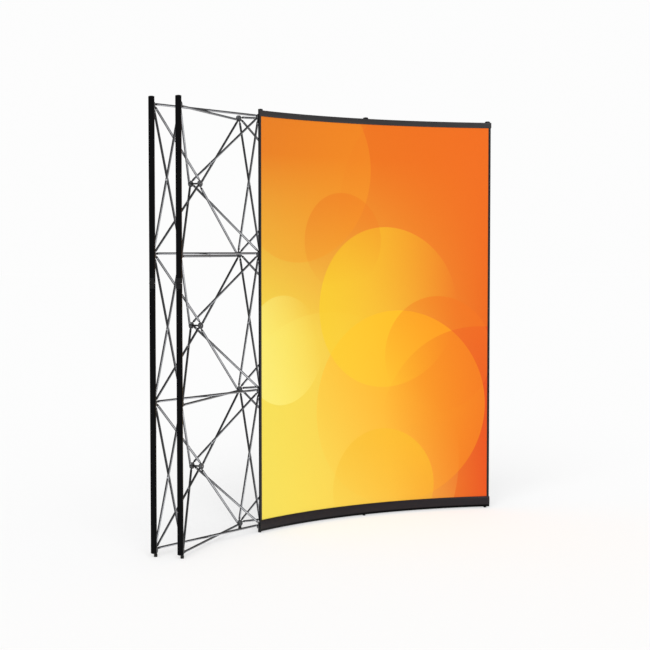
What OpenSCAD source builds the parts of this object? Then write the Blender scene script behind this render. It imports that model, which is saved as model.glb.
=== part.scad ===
// Pop-up display backwall: a curved scissor frame, three bays wide and three
// rows high, with folding bars on its ends and one graphic over two bays.
// +Z is up, the hollow front faces -Y, and the origin is on the floor under
// the middle of the wall.

/* [Frame] */
// Height between two rows of corner hubs
row_pitch = 735; // [600:5:900]
// Angle between two upright lines of hubs, seen from above
bay_angle = 21.2; // [14:0.2:24]
// Radius from the wall's centre of curvature to the front hubs
front_radius = 2108; // [1800:1:2600]
// Depth from a front corner hub to the rear corner hub behind it
frame_depth = 142; // [120:1:200]
// How far the front centre hubs stand behind the front hub circle
front_centre_depth = 93; // [80:1:100]
// Gap from a front centre hub to the rear centre hub it locks to
lock_gap = 57; // [50:1:75]
// Height of the lowest hubs above the floor
foot_height = 34; // [30:1:60]

/* [Hubs] */
// Diameter of a hub
hub_d = 34; // [34:0.5:50]
// Thickness of a hub
hub_t = 14; // [13:0.5:24]
// Distance of a strut's pin from its hub's axis
pin_reach = 11.5; // [11.5:0.25:12]
// Diameter of the pins that hold the struts in the hubs
pin_d = 3; // [2:0.1:4]
// Width of a pin hole over its pin
pin_play = 0.2; // [0.1:0.05:0.4]
// Length of a hub pin
pin_length = 6.6; // [6:0.1:6.8]

/* [Struts] */
// Outside diameter of a strut tube
tube_d = 12; // [8:0.5:13]
// Wall of a strut tube
tube_wall = 1; // [0.8:0.1:1.5]
// Clear space between two crossing struts
cross_gap = 1.4; // [1:0.1:2.4]
// Thickness of a strut tip's blade
blade_t = 3.5; // [3:0.1:3.8]
// Width of a strut tip's blade
blade_w = 7; // [6:0.1:7.2]
// Gap between a blade and each side of its slot
slot_play = 0.3; // [0.2:0.05:0.6]
// Distance from a pin to the shoulder of its tip
blade_reach = 14; // [13:0.5:20]
// Diameter of the rivets where struts cross
rivet_d = 4; // [3:0.1:5]

/* [Bars] */
// Width of a bar
bar_w = 30; // [24:0.5:34]
// Depth of a bar
bar_t = 9; // [8:0.5:12]
// Wall of a bar
bar_wall = 1.2; // [1:0.1:2]
// Gap from a hub to the bar that hangs on it
bar_gap = 0.5; // [0.3:0.1:1.5]
// How far a bar stands above the top hubs
bar_above = 41; // [38:1:80]
// How far a bar reaches below the lowest hubs
bar_below = 12; // [8:1:20]
// How far below a row of hubs a bar is divided
joint_drop = 140; // [135:1:220]
// Gap between two sections of a bar
joint_gap = 1; // [0.6:0.1:2]
// Diameter of the pegs that carry the bars
peg_d = 8; // [6:0.1:9]
// Width of a peg hole over its peg
peg_play = 0.6; // [0.4:0.1:1]
// Radius of a hinge barrel
barrel_r = 3.5; // [3:0.1:4]
// Thickness of a hinge leaf
leaf_t = 1.5; // [1:0.1:2]
// Length of a hinge leaf
leaf_length = 26; // [18:1:40]

/* [Graphic] */
// Thickness of the printed panel
print_t = 1.2; // [0.6:0.1:2]
// Thickness of the magnet strips behind it
magnet_t = 1.4; // [1:0.1:2.5]
// Width of a magnet strip
magnet_w = 20; // [12:1:22]
// How far the panel reaches past its outer bars' middle lines
side_reach = 18; // [16:0.5:30]
// Gap from the bars to the back of the graphic
graphic_gap = 0.3; // [0.2:0.05:1]
// Height of the top rail
top_rail_h = 32; // [24:1:40]
// How far the bars stick up past the top rail
bar_show = 6; // [5:1:20]
// Height of the bottom rail
bottom_rail_h = 62; // [40:1:80]
// Height of the bottom rail's lower edge above the floor
graphic_floor_gap = 8; // [6:1:40]
// Depth of the top rail, front to back
top_rail_t = 6.2; // [5:0.1:10]
// Depth of the bottom rail, front to back
bottom_rail_t = 11; // [8:0.1:16]
// Width of the trims beside the print's upright edges
trim_w = 6; // [4:0.5:6]
// How far a trim's front lip reaches in from the panel's side
trim_lip = 14; // [8:0.5:20]

/* [Hidden] */
bays = 3;
rows = 3;
first_graphic_line = 1;
end_angle = bays / 2 * bay_angle;
side = (tube_d + cross_gap) / 2;
hub_r = hub_d / 2;
slot_w = blade_t + 2 * slot_play;
slot_floor = blade_w / 2 + 1;
blade_back = blade_w / 2 + slot_play;
shoulder_t = 4;
spigot_length = 18;
spigot_play = 0.1;
rear_centre_depth = front_centre_depth + lock_gap;
bar_near = hub_r + bar_gap;
bar_far = bar_near + bar_t;
front_bar_near = hub_t / 2 + bar_gap;
front_bar_far = front_bar_near + bar_t;
peg_hold = 7;
peg_inside = bar_t - bar_wall - 2;
graphic_back = front_bar_far + graphic_gap;
print_back = graphic_back + magnet_t;
print_front = print_back + print_t;
bar_top = foot_height + rows * row_pitch + bar_above;
bar_bottom = foot_height - bar_below;
top_rail_top = bar_top - bar_show;
top_rail_low = top_rail_top - top_rail_h;
bottom_rail_top = graphic_floor_gap + bottom_rail_h;
rail_cap_t = 3;
front_peg_hold = 6;
lock_magnet_t = 3;
lock_magnet_d = 14;
lock_post_d = 9;
lock_air = 0.2;
rivet_play = 0.1;
foot_d = 18;
foot_stem_d = 6;
splice_reach = 40;
plug_reach = bar_below - peg_d / 2 - 2;
leaf_w = bar_w - 4;
barrel_l = leaf_w / 3;
barrel_play = 0.4;
hinge_pin_d = 3;
hinge_play = 0.05;
rail_grip = 10;
groove_play = 0.1;
hook_w = 18;
hook_t = 2;
hook_seat = 20;
hook_drop = 16;
hook_play = 0.2;
arc_fn = 720;
round_fn = 48;

// Degrees that a length along the wall takes at a radius
function arc_deg(length, r) = length / r * 180 / PI;

graphic_a0 = (first_graphic_line - bays / 2) * bay_angle - arc_deg(side_reach, front_radius);
graphic_a1 = end_angle + arc_deg(side_reach, front_radius);
cap_deg = arc_deg(rail_cap_t, front_radius);
trim_deg = arc_deg(trim_w, front_radius);

// The origin is midway between the front-most edge, which is the bottom
// rail's right end, and the back of the middle rear centre hubs.
y_front = (front_radius - graphic_back - bottom_rail_t) * cos(graphic_a1 + cap_deg);
y_back = front_radius + rear_centre_depth + hub_t / 2;
y_mid = (y_front + y_back) / 2;

// Directions on the wall at angle a: towards the back, and to the right
function back_dir(a) = [sin(a), cos(a), 0];
function right_dir(a) = [cos(a), -sin(a), 0];
function at(r, a, z) = r * back_dir(a) + [0, -y_mid, z];
function unit(v) = v / norm(v);
function flat(v, n) = unit(v - (v * n) * n);

// A hub is its centre and its angle on the wall; rows count from the floor
function line_angle(j) = (j - bays / 2) * bay_angle;
function row_z(i) = foot_height + i * row_pitch;
function front_hub(i, j) = [at(front_radius, line_angle(j), row_z(i)), line_angle(j)];
function rear_hub(i, j) = [at(front_radius + frame_depth, line_angle(j), row_z(i)), line_angle(j)];
function centre_hub(i, j, depth) =
    [at(front_radius + depth, line_angle(j + 0.5), row_z(i + 0.5)), line_angle(j + 0.5)];

// A strut from front hub f to rear hub r: its two pin points and its hubs.
// Every hub holds its struts beside its spokes, so crossing struts miss.
function spoke(h, towards, hand) =
    let (n = back_dir(h[1]), e = flat(towards - h[0], n))
    h[0] + pin_reach * e + hand * side * cross(n, e);
function strut(f, r) = [spoke(f, r[0], 1), spoke(r, f[0], -1), f, r];

// Two struts that cross, moved apart or together to the same clear space
function crossing(f1, r1, f2, r2) =
    let (
        p = strut(f1, r1),
        q = strut(f2, r2),
        n = unit(cross(p[1] - p[0], q[1] - q[0])),
        gap = (q[0] - p[0]) * n,
        to_q = n * sign(gap),
        move = (2 * side - abs(gap)) / 2 * to_q
    )
    [
        [p[0] - move, p[1] - move, f1, r1, to_q],
        [q[0] + move, q[1] + move, f2, r2, -to_q]
    ];

function row_crossing(i, j) =
    crossing(front_hub(i, j), rear_hub(i, j + 1), front_hub(i, j + 1), rear_hub(i, j));
function column_crossing(i, j) =
    crossing(front_hub(i, j), rear_hub(i + 1, j), front_hub(i + 1, j), rear_hub(i, j));
function corner_crossing(i, j, di, dj) =
    crossing(
        front_hub(i + di, j + dj), centre_hub(i, j, rear_centre_depth),
        centre_hub(i, j, front_centre_depth), rear_hub(i + di, j + dj)
    );

function bay_rows(j) = [for (i = [0:rows]) row_crossing(i, j)];
function line_columns(j) = [for (i = [0:rows - 1]) column_crossing(i, j)];
function bay_corners(j) =
    [for (i = [0:rows - 1], di = [0:1], dj = [0:1]) corner_crossing(i, j, di, dj)];

row_pairs = [for (j = [0:bays - 1]) each bay_rows(j)];
column_pairs = [for (j = [0:bays]) each line_columns(j)];
corner_pairs = [for (j = [0:bays - 1]) each bay_corners(j)];
all_pairs = concat(row_pairs, column_pairs, corner_pairs);

// The bars that fold: the hubs they hang on, and the line of those hubs
end_bars = [[front_hub(0, 0), 0], [rear_hub(0, 0), 0], [rear_hub(0, bays), bays]];

// Both ends of every strut: pin point, direction of the tube, pin's axis, hub
function strut_end(s, k) =
    let (u = unit(s[1 - k] - s[k]), n = back_dir(s[2 + k][1]))
    [s[k], u, unit(cross(n, u)), s[2 + k]];
function ends_of(pairs) = [for (p = pairs, s = p, k = [0:1]) strut_end(s, k)];
function ends_at(h) = [for (e = ends_of(all_pairs)) if (norm(e[3][0] - h[0]) < 1) e];

// Where strut s comes nearest to strut t
function nearest(s, t) =
    let (
        u = unit(s[1] - s[0]),
        v = unit(t[1] - t[0]),
        w = s[0] - t[0],
        b = u * v
    )
    s[0] + u * ((b * (v * w) - u * w) / (1 - b * b));

// Puts its children at point o, with their X along x and their Z along z
module placed(o, x, z) {
    y = cross(z, x);
    multmatrix([
        [x[0], y[0], z[0], o[0]],
        [x[1], y[1], z[1], o[1]],
        [x[2], y[2], z[2], o[2]],
        [0, 0, 0, 1]
    ])
        children();
}

// Puts its children at a hub, with X to the right, Y up and Z to the front
module on_hub(h) {
    placed(h[0], right_dir(h[1]), -back_dir(h[1]))
        children();
}

// ---- Hubs ----

// The slot and pin hole for one strut end, open at the hub's rim and at the
// face that the struts leave from
module strut_slot(e, open_dir) {
    out = flat(e[1], open_dir);
    placed(e[0], out, cross(out, open_dir)) {
        translate([-blade_back, -slot_floor, -slot_w / 2])
            cube([hub_d, slot_floor + hub_t, slot_w]);
        cylinder(d = pin_d + pin_play, h = pin_length + 0.4, center = true, $fn = 24);
    }
}

// A moulded hub, its disc chamfered at both rims. hand is 1 when the struts
// leave towards the back, and -1 when they leave towards the front. The
// children are cut away too.
module hub(h, hand) {
    chamfer = 1.5;
    difference() {
        on_hub(h)
            rotate_extrude($fn = round_fn)
                polygon([
                    [0, -hub_t / 2],
                    [hub_r - chamfer, -hub_t / 2],
                    [hub_r, -hub_t / 2 + chamfer],
                    [hub_r, hub_t / 2 - chamfer],
                    [hub_r - chamfer, hub_t / 2],
                    [0, hub_t / 2]
                ]);
        for (e = ends_at(h))
            strut_slot(e, hand * back_dir(h[1]));
        children();
    }
}

// A blind hole in a hub's rim, on its left, right or lower side
module rim_hole(h, turn, d) {
    on_hub(h)
        rotate([0, 90, turn])
            translate([0, 0, hub_r - peg_hold])
                cylinder(d = d, h = hub_r, $fn = 32);
}

module corner_hub(h, hand, i, j) {
    hub(h, hand) {
        if (has_side_peg(j, hand))
            rim_hole(h, j == 0 ? 180 : 0, peg_d);
        if (has_front_peg(j, hand))
            on_hub(h)
                translate([0, 0, hub_t / 2 - front_peg_hold])
                    cylinder(d = peg_d, h = hub_t, $fn = 32);
        if (i == 0)
            rim_hole(h, -90, foot_stem_d);
    }
}

module front_hubs(j) {
    color("#55575a")
        for (i = [0:rows])
            corner_hub(front_hub(i, j), 1, i, j);
}

module rear_hubs(j) {
    color("#55575a")
        for (i = [0:rows])
            corner_hub(rear_hub(i, j), -1, i, j);
}

module front_centre_hubs() {
    color("#55575a")
        for (i = [0:rows - 1], j = [0:bays - 1])
            hub(centre_hub(i, j, front_centre_depth), 1);
}

module rear_centre_hubs() {
    color("#55575a")
        for (i = [0:rows - 1], j = [0:bays - 1])
            hub(centre_hub(i, j, rear_centre_depth), -1);
}

// Each bay locks open on a post from its rear centre hub, which ends on a
// magnet disc stuck to its front centre hub
module lock_posts() {
    color("#2a2a2c")
        for (i = [0:rows - 1], j = [0:bays - 1])
            on_hub(centre_hub(i, j, rear_centre_depth))
                translate([0, 0, hub_t / 2])
                    lock_post();
}

module lock_post() {
    length = lock_gap - hub_t - lock_magnet_t - lock_air;
    cylinder(d = lock_post_d, h = length, $fn = 32);
    cylinder(d = lock_post_d + 3, h = 2, $fn = 32);
    translate([0, 0, length - 4])
        cylinder(d = lock_magnet_d, h = 4, $fn = 32);
}

module lock_magnets() {
    color("#8d9094")
        for (i = [0:rows - 1], j = [0:bays - 1])
            on_hub(centre_hub(i, j, front_centre_depth))
                translate([0, 0, -hub_t / 2 - lock_magnet_t])
                    cylinder(d = lock_magnet_d, h = lock_magnet_t, $fn = 32);
}

// ---- Struts ----

// A tube from tip shoulder to tip shoulder, drilled where it crosses its
// partner t
module strut_tube(s, t) {
    u = unit(s[1] - s[0]);
    start = blade_reach + shoulder_t;
    length = norm(s[1] - s[0]) - 2 * start;
    pivot = (nearest(s, t) - s[0]) * u;
    placed(s[0], s[4], u)
        translate([0, 0, start])
            difference() {
                cylinder(d = tube_d, h = length, $fn = 32);
                translate([0, 0, -1])
                    cylinder(d = tube_d - 2 * tube_wall, h = length + 2, $fn = 32);
                translate([0, 0, pivot - start])
                    rotate([0, 90, 0])
                        cylinder(d = rivet_d + pin_play, h = 2 * tube_d, center = true, $fn = 24);
            }
}

module strut_tubes(pairs) {
    color("#b9bcc0")
        for (p = pairs, k = [0:1])
            strut_tube(p[k], p[1 - k]);
}

// A moulded tip: a spigot in the tube, a shoulder, and a flat blade with an
// eye for the hub pin
module strut_tip(e) {
    bore = tube_d - 2 * tube_wall;
    placed(e[0], e[1], e[2])
        difference() {
            union() {
                cylinder(d = blade_w, h = blade_t, center = true, $fn = 32);
                translate([0, -blade_w / 2, -blade_t / 2])
                    cube([blade_reach + 1, blade_w, blade_t]);
                translate([blade_reach, 0, 0])
                    rotate([0, 90, 0])
                        cylinder(d = tube_d, h = shoulder_t, $fn = 32);
                translate([blade_reach + 1, 0, 0])
                    rotate([0, 90, 0])
                        cylinder(d = bore - 2 * spigot_play, h = spigot_length, $fn = 32);
            }
            cylinder(d = pin_d + pin_play, h = 2 * blade_t, center = true, $fn = 24);
        }
}

module strut_tips(pairs) {
    color("#232325")
        for (e = ends_of(pairs))
            strut_tip(e);
}

module hub_pins() {
    color("#a7aaae")
        for (e = ends_of(all_pairs))
            placed(e[0], e[1], e[2])
                cylinder(d = pin_d, h = pin_length, center = true, $fn = 24);
}

// Shoulder rivets: the shoulder keeps the two tubes apart
module strut_rivets() {
    color("#9a9da1")
        for (p = all_pairs)
            placed(nearest(p[0], p[1]), unit(p[0][1] - p[0][0]), p[0][4])
                rivet();
}

module rivet() {
    head_t = 1.2;
    reach = side + tube_d / 2 + head_t;
    translate([0, 0, side]) {
        cylinder(d = rivet_d, h = 2 * reach, center = true, $fn = 24);
        cylinder(d = rivet_d + 3, h = cross_gap - 2 * rivet_play, center = true, $fn = 24);
        for (k = [0:1])
            mirror([0, 0, k])
                translate([0, 0, reach - head_t])
                    cylinder(d = 2 * rivet_d, h = head_t, $fn = 24);
    }
}

// ---- Pegs and feet ----

// Pegs stand on the end hubs' rims and on the front hubs' faces
function has_side_peg(j, hand) = (j == 0) || (j == bays && hand < 0);
function has_front_peg(j, hand) = j >= first_graphic_line && hand > 0;

module bar_pegs() {
    color("#3a3b3e")
        for (i = [0:rows], j = [0:bays]) {
            if (has_side_peg(j, 1))
                side_peg(front_hub(i, j), j);
            if (has_side_peg(j, -1))
                side_peg(rear_hub(i, j), j);
            if (has_front_peg(j, 1))
                on_hub(front_hub(i, j))
                    translate([0, 0, hub_t / 2 - front_peg_hold])
                        peg(front_peg_hold + bar_gap + peg_inside);
        }
}

module side_peg(h, j) {
    on_hub(h)
        rotate([0, 90, j == 0 ? 180 : 0])
            translate([0, 0, hub_r - peg_hold])
                peg(peg_hold + bar_gap + peg_inside);
}

module peg(length) {
    lead = 1;
    cylinder(d = peg_d, h = length - lead, $fn = 32);
    translate([0, 0, length - lead])
        cylinder(d1 = peg_d, d2 = peg_d - 2 * lead, h = lead, $fn = 32);
}

module rubber_feet() {
    color("#141415")
        for (j = [0:bays]) {
            rubber_foot(front_hub(0, j));
            rubber_foot(rear_hub(0, j));
        }
}

module rubber_foot(h) {
    seat_gap = 0.3;
    top = foot_height - hub_r - seat_gap;
    translate([h[0][0], h[0][1], 0]) {
        cylinder(d1 = foot_d - 2, d2 = foot_d, h = 2, $fn = 32);
        translate([0, 0, 2])
            cylinder(d = foot_d, h = top - 2, $fn = 32);
        cylinder(d = foot_stem_d, h = top + peg_hold, $fn = 32);
    }
}

// ---- Bars ----

// Heights at which every bar is divided: 0 is its foot, 3 is its top
function bar_cut(k) =
    k == 0 ? bar_bottom
    : k == 1 ? row_z(1) - joint_drop
    : k == 2 ? row_z(2) - joint_drop
    : bar_top;

// A length of box section, holed at the pegs. X runs away from the hubs and
// Y across the bar; near is its distance from the hubs' middle.
module bar_section(near, k) {
    low = bar_cut(k) + (k > 0 ? joint_gap / 2 : 0);
    high = bar_cut(k + 1) - (k < 2 ? joint_gap / 2 : 0);
    translate([near, -bar_w / 2, low])
        difference() {
            cube([bar_t, bar_w, high - low]);
            translate([bar_wall, bar_wall, -1])
                cube([bar_t - 2 * bar_wall, bar_w - 2 * bar_wall, high - low + 2]);
            for (i = [0:rows])
                if (row_z(i) > low && row_z(i) < high)
                    translate([-1, bar_w / 2, row_z(i) - low])
                        rotate([0, 90, 0])
                            cylinder(d = peg_d + peg_play, h = bar_wall + 2, $fn = 32);
        }
}

// Puts its children on a line of hubs, at floor height, with X to the end
module on_end(h, j) {
    placed([h[0][0], h[0][1], 0], (j == 0 ? -1 : 1) * right_dir(h[1]), [0, 0, 1])
        children();
}

// The same with X to the front
module on_front(j) {
    h = front_hub(0, j);
    placed([h[0][0], h[0][1], 0], -back_dir(h[1]), [0, 0, 1])
        children();
}

module front_bar(j) {
    color("#19191b")
        on_front(j)
            for (k = [0:2])
                bar_section(front_bar_near, k);
}

module end_bar_section(h, j, k) {
    color("#19191b")
        on_end(h, j)
            bar_section(bar_near, k);
}

// A block that fills a bar's cavity between two heights
module bar_fill(near, low, high) {
    play = 0.1;
    translate([near + bar_wall + play, -bar_w / 2 + bar_wall + play, low])
        cube([bar_t - 2 * (bar_wall + play), bar_w - 2 * (bar_wall + play), high - low]);
}

// Splices join the sections of the front bars
module front_bar_splices() {
    color("#2b2b2e")
        for (j = [first_graphic_line:bays], k = [1:2])
            on_front(j)
                bar_fill(front_bar_near, bar_cut(k) - splice_reach, bar_cut(k) + splice_reach);
}

// A plug that closes an end of a bar, with a rounded outer edge
module end_plug(near, z, up) {
    cap_t = 3;
    translate([0, 0, z])
        mirror([0, 0, up > 0 ? 0 : 1]) {
            bar_fill(near, -plug_reach, 0);
            translate([near, 0, 0])
                rotate([0, 90, 0])
                    linear_extrude(bar_t)
                        intersection() {
                            translate([-cap_t, -bar_w / 2])
                                square([cap_t, bar_w]);
                            translate([bar_w, 0])
                                circle(r = norm([bar_w, bar_w / 2]), $fn = 96);
                        }
        }
}

module front_bar_end_plugs() {
    color("#161617")
        for (j = [first_graphic_line:bays])
            on_front(j)
                end_plug(front_bar_near, bar_bottom, -1);
}

module bar_top_plugs() {
    color("#161617")
        for (b = end_bars)
            on_end(b[0], b[1])
                end_plug(bar_near, bar_top, 1);
}

// ---- Hinges of the end bars ----

// A leaf with its barrels: z is the joint's height, face the side of the bar
// that carries it (1 outer, -1 inner), up which section it is on, and ears
// whether it has the two outer barrels or the middle one
module hinge_leaf(z, face, up, ears) {
    skin = face > 0 ? bar_far : bar_near;
    axis_x = skin + face * barrel_r;
    low = up > 0 ? joint_gap / 2 : -joint_gap / 2 - leaf_length;
    difference() {
        union() {
            translate([face > 0 ? skin : skin - leaf_t, -leaf_w / 2, z + low])
                cube([leaf_t, leaf_w, leaf_length]);
            for (y = ears ? [-1, 1] : [0])
                translate([axis_x, y * (leaf_w - barrel_l) / 2, z])
                    rotate([90, 0, 0])
                        cylinder(r = barrel_r, h = barrel_l - barrel_play, center = true, $fn = 32);
        }
        translate([axis_x, 0, z])
            rotate([90, 0, 0])
                cylinder(d = hinge_pin_d + 2 * hinge_play, h = 2 * leaf_w, center = true, $fn = 32);
        // room for the other leaf's barrels
        for (y = ears ? [0] : [-1, 1])
            translate([axis_x, y * (leaf_w - barrel_l) / 2, z])
                rotate([90, 0, 0])
                    cylinder(r = barrel_r + 0.4, h = barrel_l + barrel_play, center = true, $fn = 32);
    }
}

module hinge_pin(z, face) {
    skin = face > 0 ? bar_far : bar_near;
    translate([skin + face * barrel_r, 0, z])
        rotate([90, 0, 0])
            cylinder(d = hinge_pin_d, h = leaf_w, center = true, $fn = 32);
}

module bar_upper_hinge_leaves() {
    color("#3c3d40")
        for (b = end_bars)
            on_end(b[0], b[1])
                hinge_leaf(bar_cut(2), 1, 1, true);
}

module bar_upper_hinge_pins() {
    color("#a7aaae")
        for (b = end_bars)
            on_end(b[0], b[1])
                hinge_pin(bar_cut(2), 1);
}

module middle_leaves(h, j) {
    color("#3c3d40")
        on_end(h, j) {
            hinge_leaf(bar_cut(2), 1, -1, false);
            hinge_leaf(bar_cut(1), -1, 1, true);
            hinge_pin(bar_cut(1), -1);
        }
}

module lower_leaf(h, j) {
    color("#3c3d40")
        on_end(h, j) {
            hinge_leaf(bar_cut(1), -1, -1, false);
            end_plug(bar_near, bar_bottom, -1);
        }
}

// ---- Graphic ----

// A ring sector that follows the wall: profile is in radius and height
module along_wall(a0, a1) {
    translate([0, -y_mid, 0])
        rotate([0, 0, 90 - a1])
            rotate_extrude(angle = a1 - a0, $fn = arc_fn)
                children();
}

// A rectangle between two depths in front of the front hubs
module band(back, front, low, high) {
    translate([front_radius - front, low])
        square([front - back, high - low]);
}

module graphic_print() {
    color("#f59a23")
        along_wall(graphic_a0 + trim_deg, graphic_a1 - trim_deg)
            band(print_back, print_front, bottom_rail_top - rail_grip, top_rail_low + rail_grip);
}

// A rail is clamped along an edge of the panel, which sits in its groove
module rail(low, high, depth, grip_low, grip_high) {
    color("#3a3a3c")
        along_wall(graphic_a0, graphic_a1)
            difference() {
                band(graphic_back, graphic_back + depth, low, high);
                band(print_back - groove_play, print_front + groove_play, grip_low, grip_high);
            }
}

module graphic_top_rail() {
    difference() {
        rail(
            top_rail_low, top_rail_top, top_rail_t,
            top_rail_low - 1, top_rail_low + rail_grip + groove_play
        );
        for (j = [first_graphic_line:bays])
            on_front(j)
                translate([graphic_back - 1, -hook_w / 2 - hook_play, top_rail_top - hook_seat])
                    cube([1 + hook_t + hook_play, hook_w + 2 * hook_play, hook_seat + 1]);
    }
}

module graphic_bottom_rail() {
    rail(
        graphic_floor_gap, bottom_rail_top, bottom_rail_t,
        bottom_rail_top - rail_grip - groove_play, bottom_rail_top + 1
    );
}

module graphic_rail_caps() {
    color("#161617")
        for (a = [graphic_a0 - cap_deg, graphic_a1]) {
            along_wall(a, a + cap_deg)
                band(graphic_back, graphic_back + top_rail_t, top_rail_low, top_rail_top);
            along_wall(a, a + cap_deg)
                band(graphic_back, graphic_back + bottom_rail_t, graphic_floor_gap, bottom_rail_top);
        }
}

// Trims hold the panel's two upright edges, with a wide lip over its front
module graphic_side_trims() {
    wrap = 0.8;
    lip_deg = arc_deg(trim_lip, front_radius);
    color("#1d1d1f") {
        for (a = [graphic_a0, graphic_a1 - trim_deg])
            along_wall(a, a + trim_deg)
                band(print_back - wrap, print_front + wrap, bottom_rail_top, top_rail_low);
        for (a = [graphic_a0, graphic_a1 - lip_deg])
            along_wall(a, a + lip_deg)
                band(print_front + groove_play, print_front + wrap, bottom_rail_top, top_rail_low);
    }
}

// Magnet strips behind the panel stick to the bars
module graphic_magnet_strips() {
    color("#4a3a30")
        for (j = [first_graphic_line:bays])
            along_wall(
                line_angle(j) - arc_deg(magnet_w / 2, front_radius),
                line_angle(j) + arc_deg(magnet_w / 2, front_radius)
            )
                band(graphic_back, print_back, bottom_rail_top + 1, top_rail_low - 1);
}

// Steel hooks stand in the top rail's back and drop into the bars' open tops
module graphic_hooks() {
    color("#2c2d30")
        for (j = [first_graphic_line:bays])
            on_front(j)
                translate([0, hook_w / 2, 0])
                    rotate([90, 0, 0])
                        linear_extrude(hook_w)
                            hook_outline();
}

module hook_outline() {
    wall_back = front_bar_far - bar_wall;
    tongue_x1 = wall_back - hook_play;
    leg_x0 = graphic_back + hook_play / 2;
    crown = bar_top + graphic_gap;
    translate([leg_x0, top_rail_top - hook_seat + hook_play])
        square([hook_t, crown + hook_t - top_rail_top + hook_seat - hook_play]);
    translate([tongue_x1 - hook_t, crown])
        square([leg_x0 + hook_t - tongue_x1 + hook_t, hook_t]);
    translate([tongue_x1 - hook_t, crown - hook_drop])
        square([hook_t, hook_drop + hook_t]);
}

front_hubs(0);  // front_hubs_1
front_hubs(1);  // front_hubs_2
front_hubs(2);  // front_hubs_3
front_hubs(3);  // front_hubs_4
rear_hubs(0);  // rear_hubs_1
rear_hubs(1);  // rear_hubs_2
rear_hubs(2);  // rear_hubs_3
rear_hubs(3);  // rear_hubs_4
front_centre_hubs();
rear_centre_hubs();
lock_posts();
lock_magnets();
strut_tubes(bay_rows(0));  // row_struts_left
strut_tubes(bay_rows(1));  // row_struts_middle
strut_tubes(bay_rows(2));  // row_struts_right
strut_tubes(bay_corners(0));  // diagonal_struts_left
strut_tubes(bay_corners(1));  // diagonal_struts_middle
strut_tubes(bay_corners(2));  // diagonal_struts_right
strut_tubes(line_columns(0));  // column_struts_1
strut_tubes(line_columns(1));  // column_struts_2
strut_tubes(line_columns(2));  // column_struts_3
strut_tubes(line_columns(3));  // column_struts_4
strut_tips(concat(row_pairs, column_pairs));  // edge_strut_tips
strut_tips(corner_pairs);  // diagonal_strut_tips
hub_pins();
strut_rivets();
bar_pegs();
rubber_feet();
front_bar(1);  // front_bar_1
front_bar(2);  // front_bar_2
front_bar(3);  // front_bar_3
front_bar_splices();
front_bar_end_plugs();
end_bar_section(end_bars[0][0], end_bars[0][1], 2);  // left_front_bar_upper
end_bar_section(end_bars[0][0], end_bars[0][1], 1);  // left_front_bar_middle
end_bar_section(end_bars[0][0], end_bars[0][1], 0);  // left_front_bar_lower
end_bar_section(end_bars[1][0], end_bars[1][1], 2);  // left_rear_bar_upper
end_bar_section(end_bars[1][0], end_bars[1][1], 1);  // left_rear_bar_middle
end_bar_section(end_bars[1][0], end_bars[1][1], 0);  // left_rear_bar_lower
end_bar_section(end_bars[2][0], end_bars[2][1], 2);  // right_rear_bar_upper
end_bar_section(end_bars[2][0], end_bars[2][1], 1);  // right_rear_bar_middle
end_bar_section(end_bars[2][0], end_bars[2][1], 0);  // right_rear_bar_lower
bar_upper_hinge_leaves();
bar_upper_hinge_pins();
bar_top_plugs();
middle_leaves(end_bars[0][0], end_bars[0][1]);  // left_front_bar_middle_fittings
lower_leaf(end_bars[0][0], end_bars[0][1]);  // left_front_bar_lower_fittings
middle_leaves(end_bars[1][0], end_bars[1][1]);  // left_rear_bar_middle_fittings
lower_leaf(end_bars[1][0], end_bars[1][1]);  // left_rear_bar_lower_fittings
middle_leaves(end_bars[2][0], end_bars[2][1]);  // right_rear_bar_middle_fittings
lower_leaf(end_bars[2][0], end_bars[2][1]);  // right_rear_bar_lower_fittings
graphic_print();
graphic_top_rail();
graphic_bottom_rail();
graphic_rail_caps();
graphic_side_trims();
graphic_magnet_strips();
graphic_hooks();
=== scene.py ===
import math
from collections import namedtuple

import bmesh
import bpy
from mathutils import Matrix, Vector


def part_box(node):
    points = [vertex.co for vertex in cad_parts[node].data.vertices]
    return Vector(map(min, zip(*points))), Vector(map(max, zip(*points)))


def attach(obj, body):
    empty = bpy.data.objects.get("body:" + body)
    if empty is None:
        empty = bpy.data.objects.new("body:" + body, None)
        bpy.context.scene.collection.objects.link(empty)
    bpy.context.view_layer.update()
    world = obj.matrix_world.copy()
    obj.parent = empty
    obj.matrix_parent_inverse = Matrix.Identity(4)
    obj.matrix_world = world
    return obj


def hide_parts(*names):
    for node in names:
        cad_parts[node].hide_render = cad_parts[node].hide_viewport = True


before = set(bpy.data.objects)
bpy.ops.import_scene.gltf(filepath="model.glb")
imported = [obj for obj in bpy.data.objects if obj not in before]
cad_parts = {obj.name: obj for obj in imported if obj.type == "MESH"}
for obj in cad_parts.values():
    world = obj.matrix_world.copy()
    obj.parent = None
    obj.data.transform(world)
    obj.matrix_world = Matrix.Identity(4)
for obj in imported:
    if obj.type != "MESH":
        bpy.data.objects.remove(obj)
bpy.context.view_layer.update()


# ---- Hubs ----
# Fifty round hubs, moulded in grey filled nylon. Each has one closed face with a raised rim, ribs
# and a screw in its middle, and slots in its other side for the struts that are pinned in it.
BAYS = 3
ROWS = 3
ROW_PITCH = 0.735
BAY_ANGLE = math.radians(21.2)
FRONT_RADIUS = 2.108
FRAME_DEPTH = 0.142
FRONT_CENTRE_DEPTH = 0.093
LOCK_GAP = 0.057
REAR_CENTRE_DEPTH = FRONT_CENTRE_DEPTH + LOCK_GAP
FOOT_HEIGHT = 0.034
HUB_D = 0.034
HUB_T = 0.014
HUB_SIDES = 48
RIBS = 8
RIB_SIZE = Vector((0.0064, 0.0012, 0.0016))
RIB_RADIUS = 0.0101
RIB_HEIGHT = 0.0059
PIN_REACH = 0.0115
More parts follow.
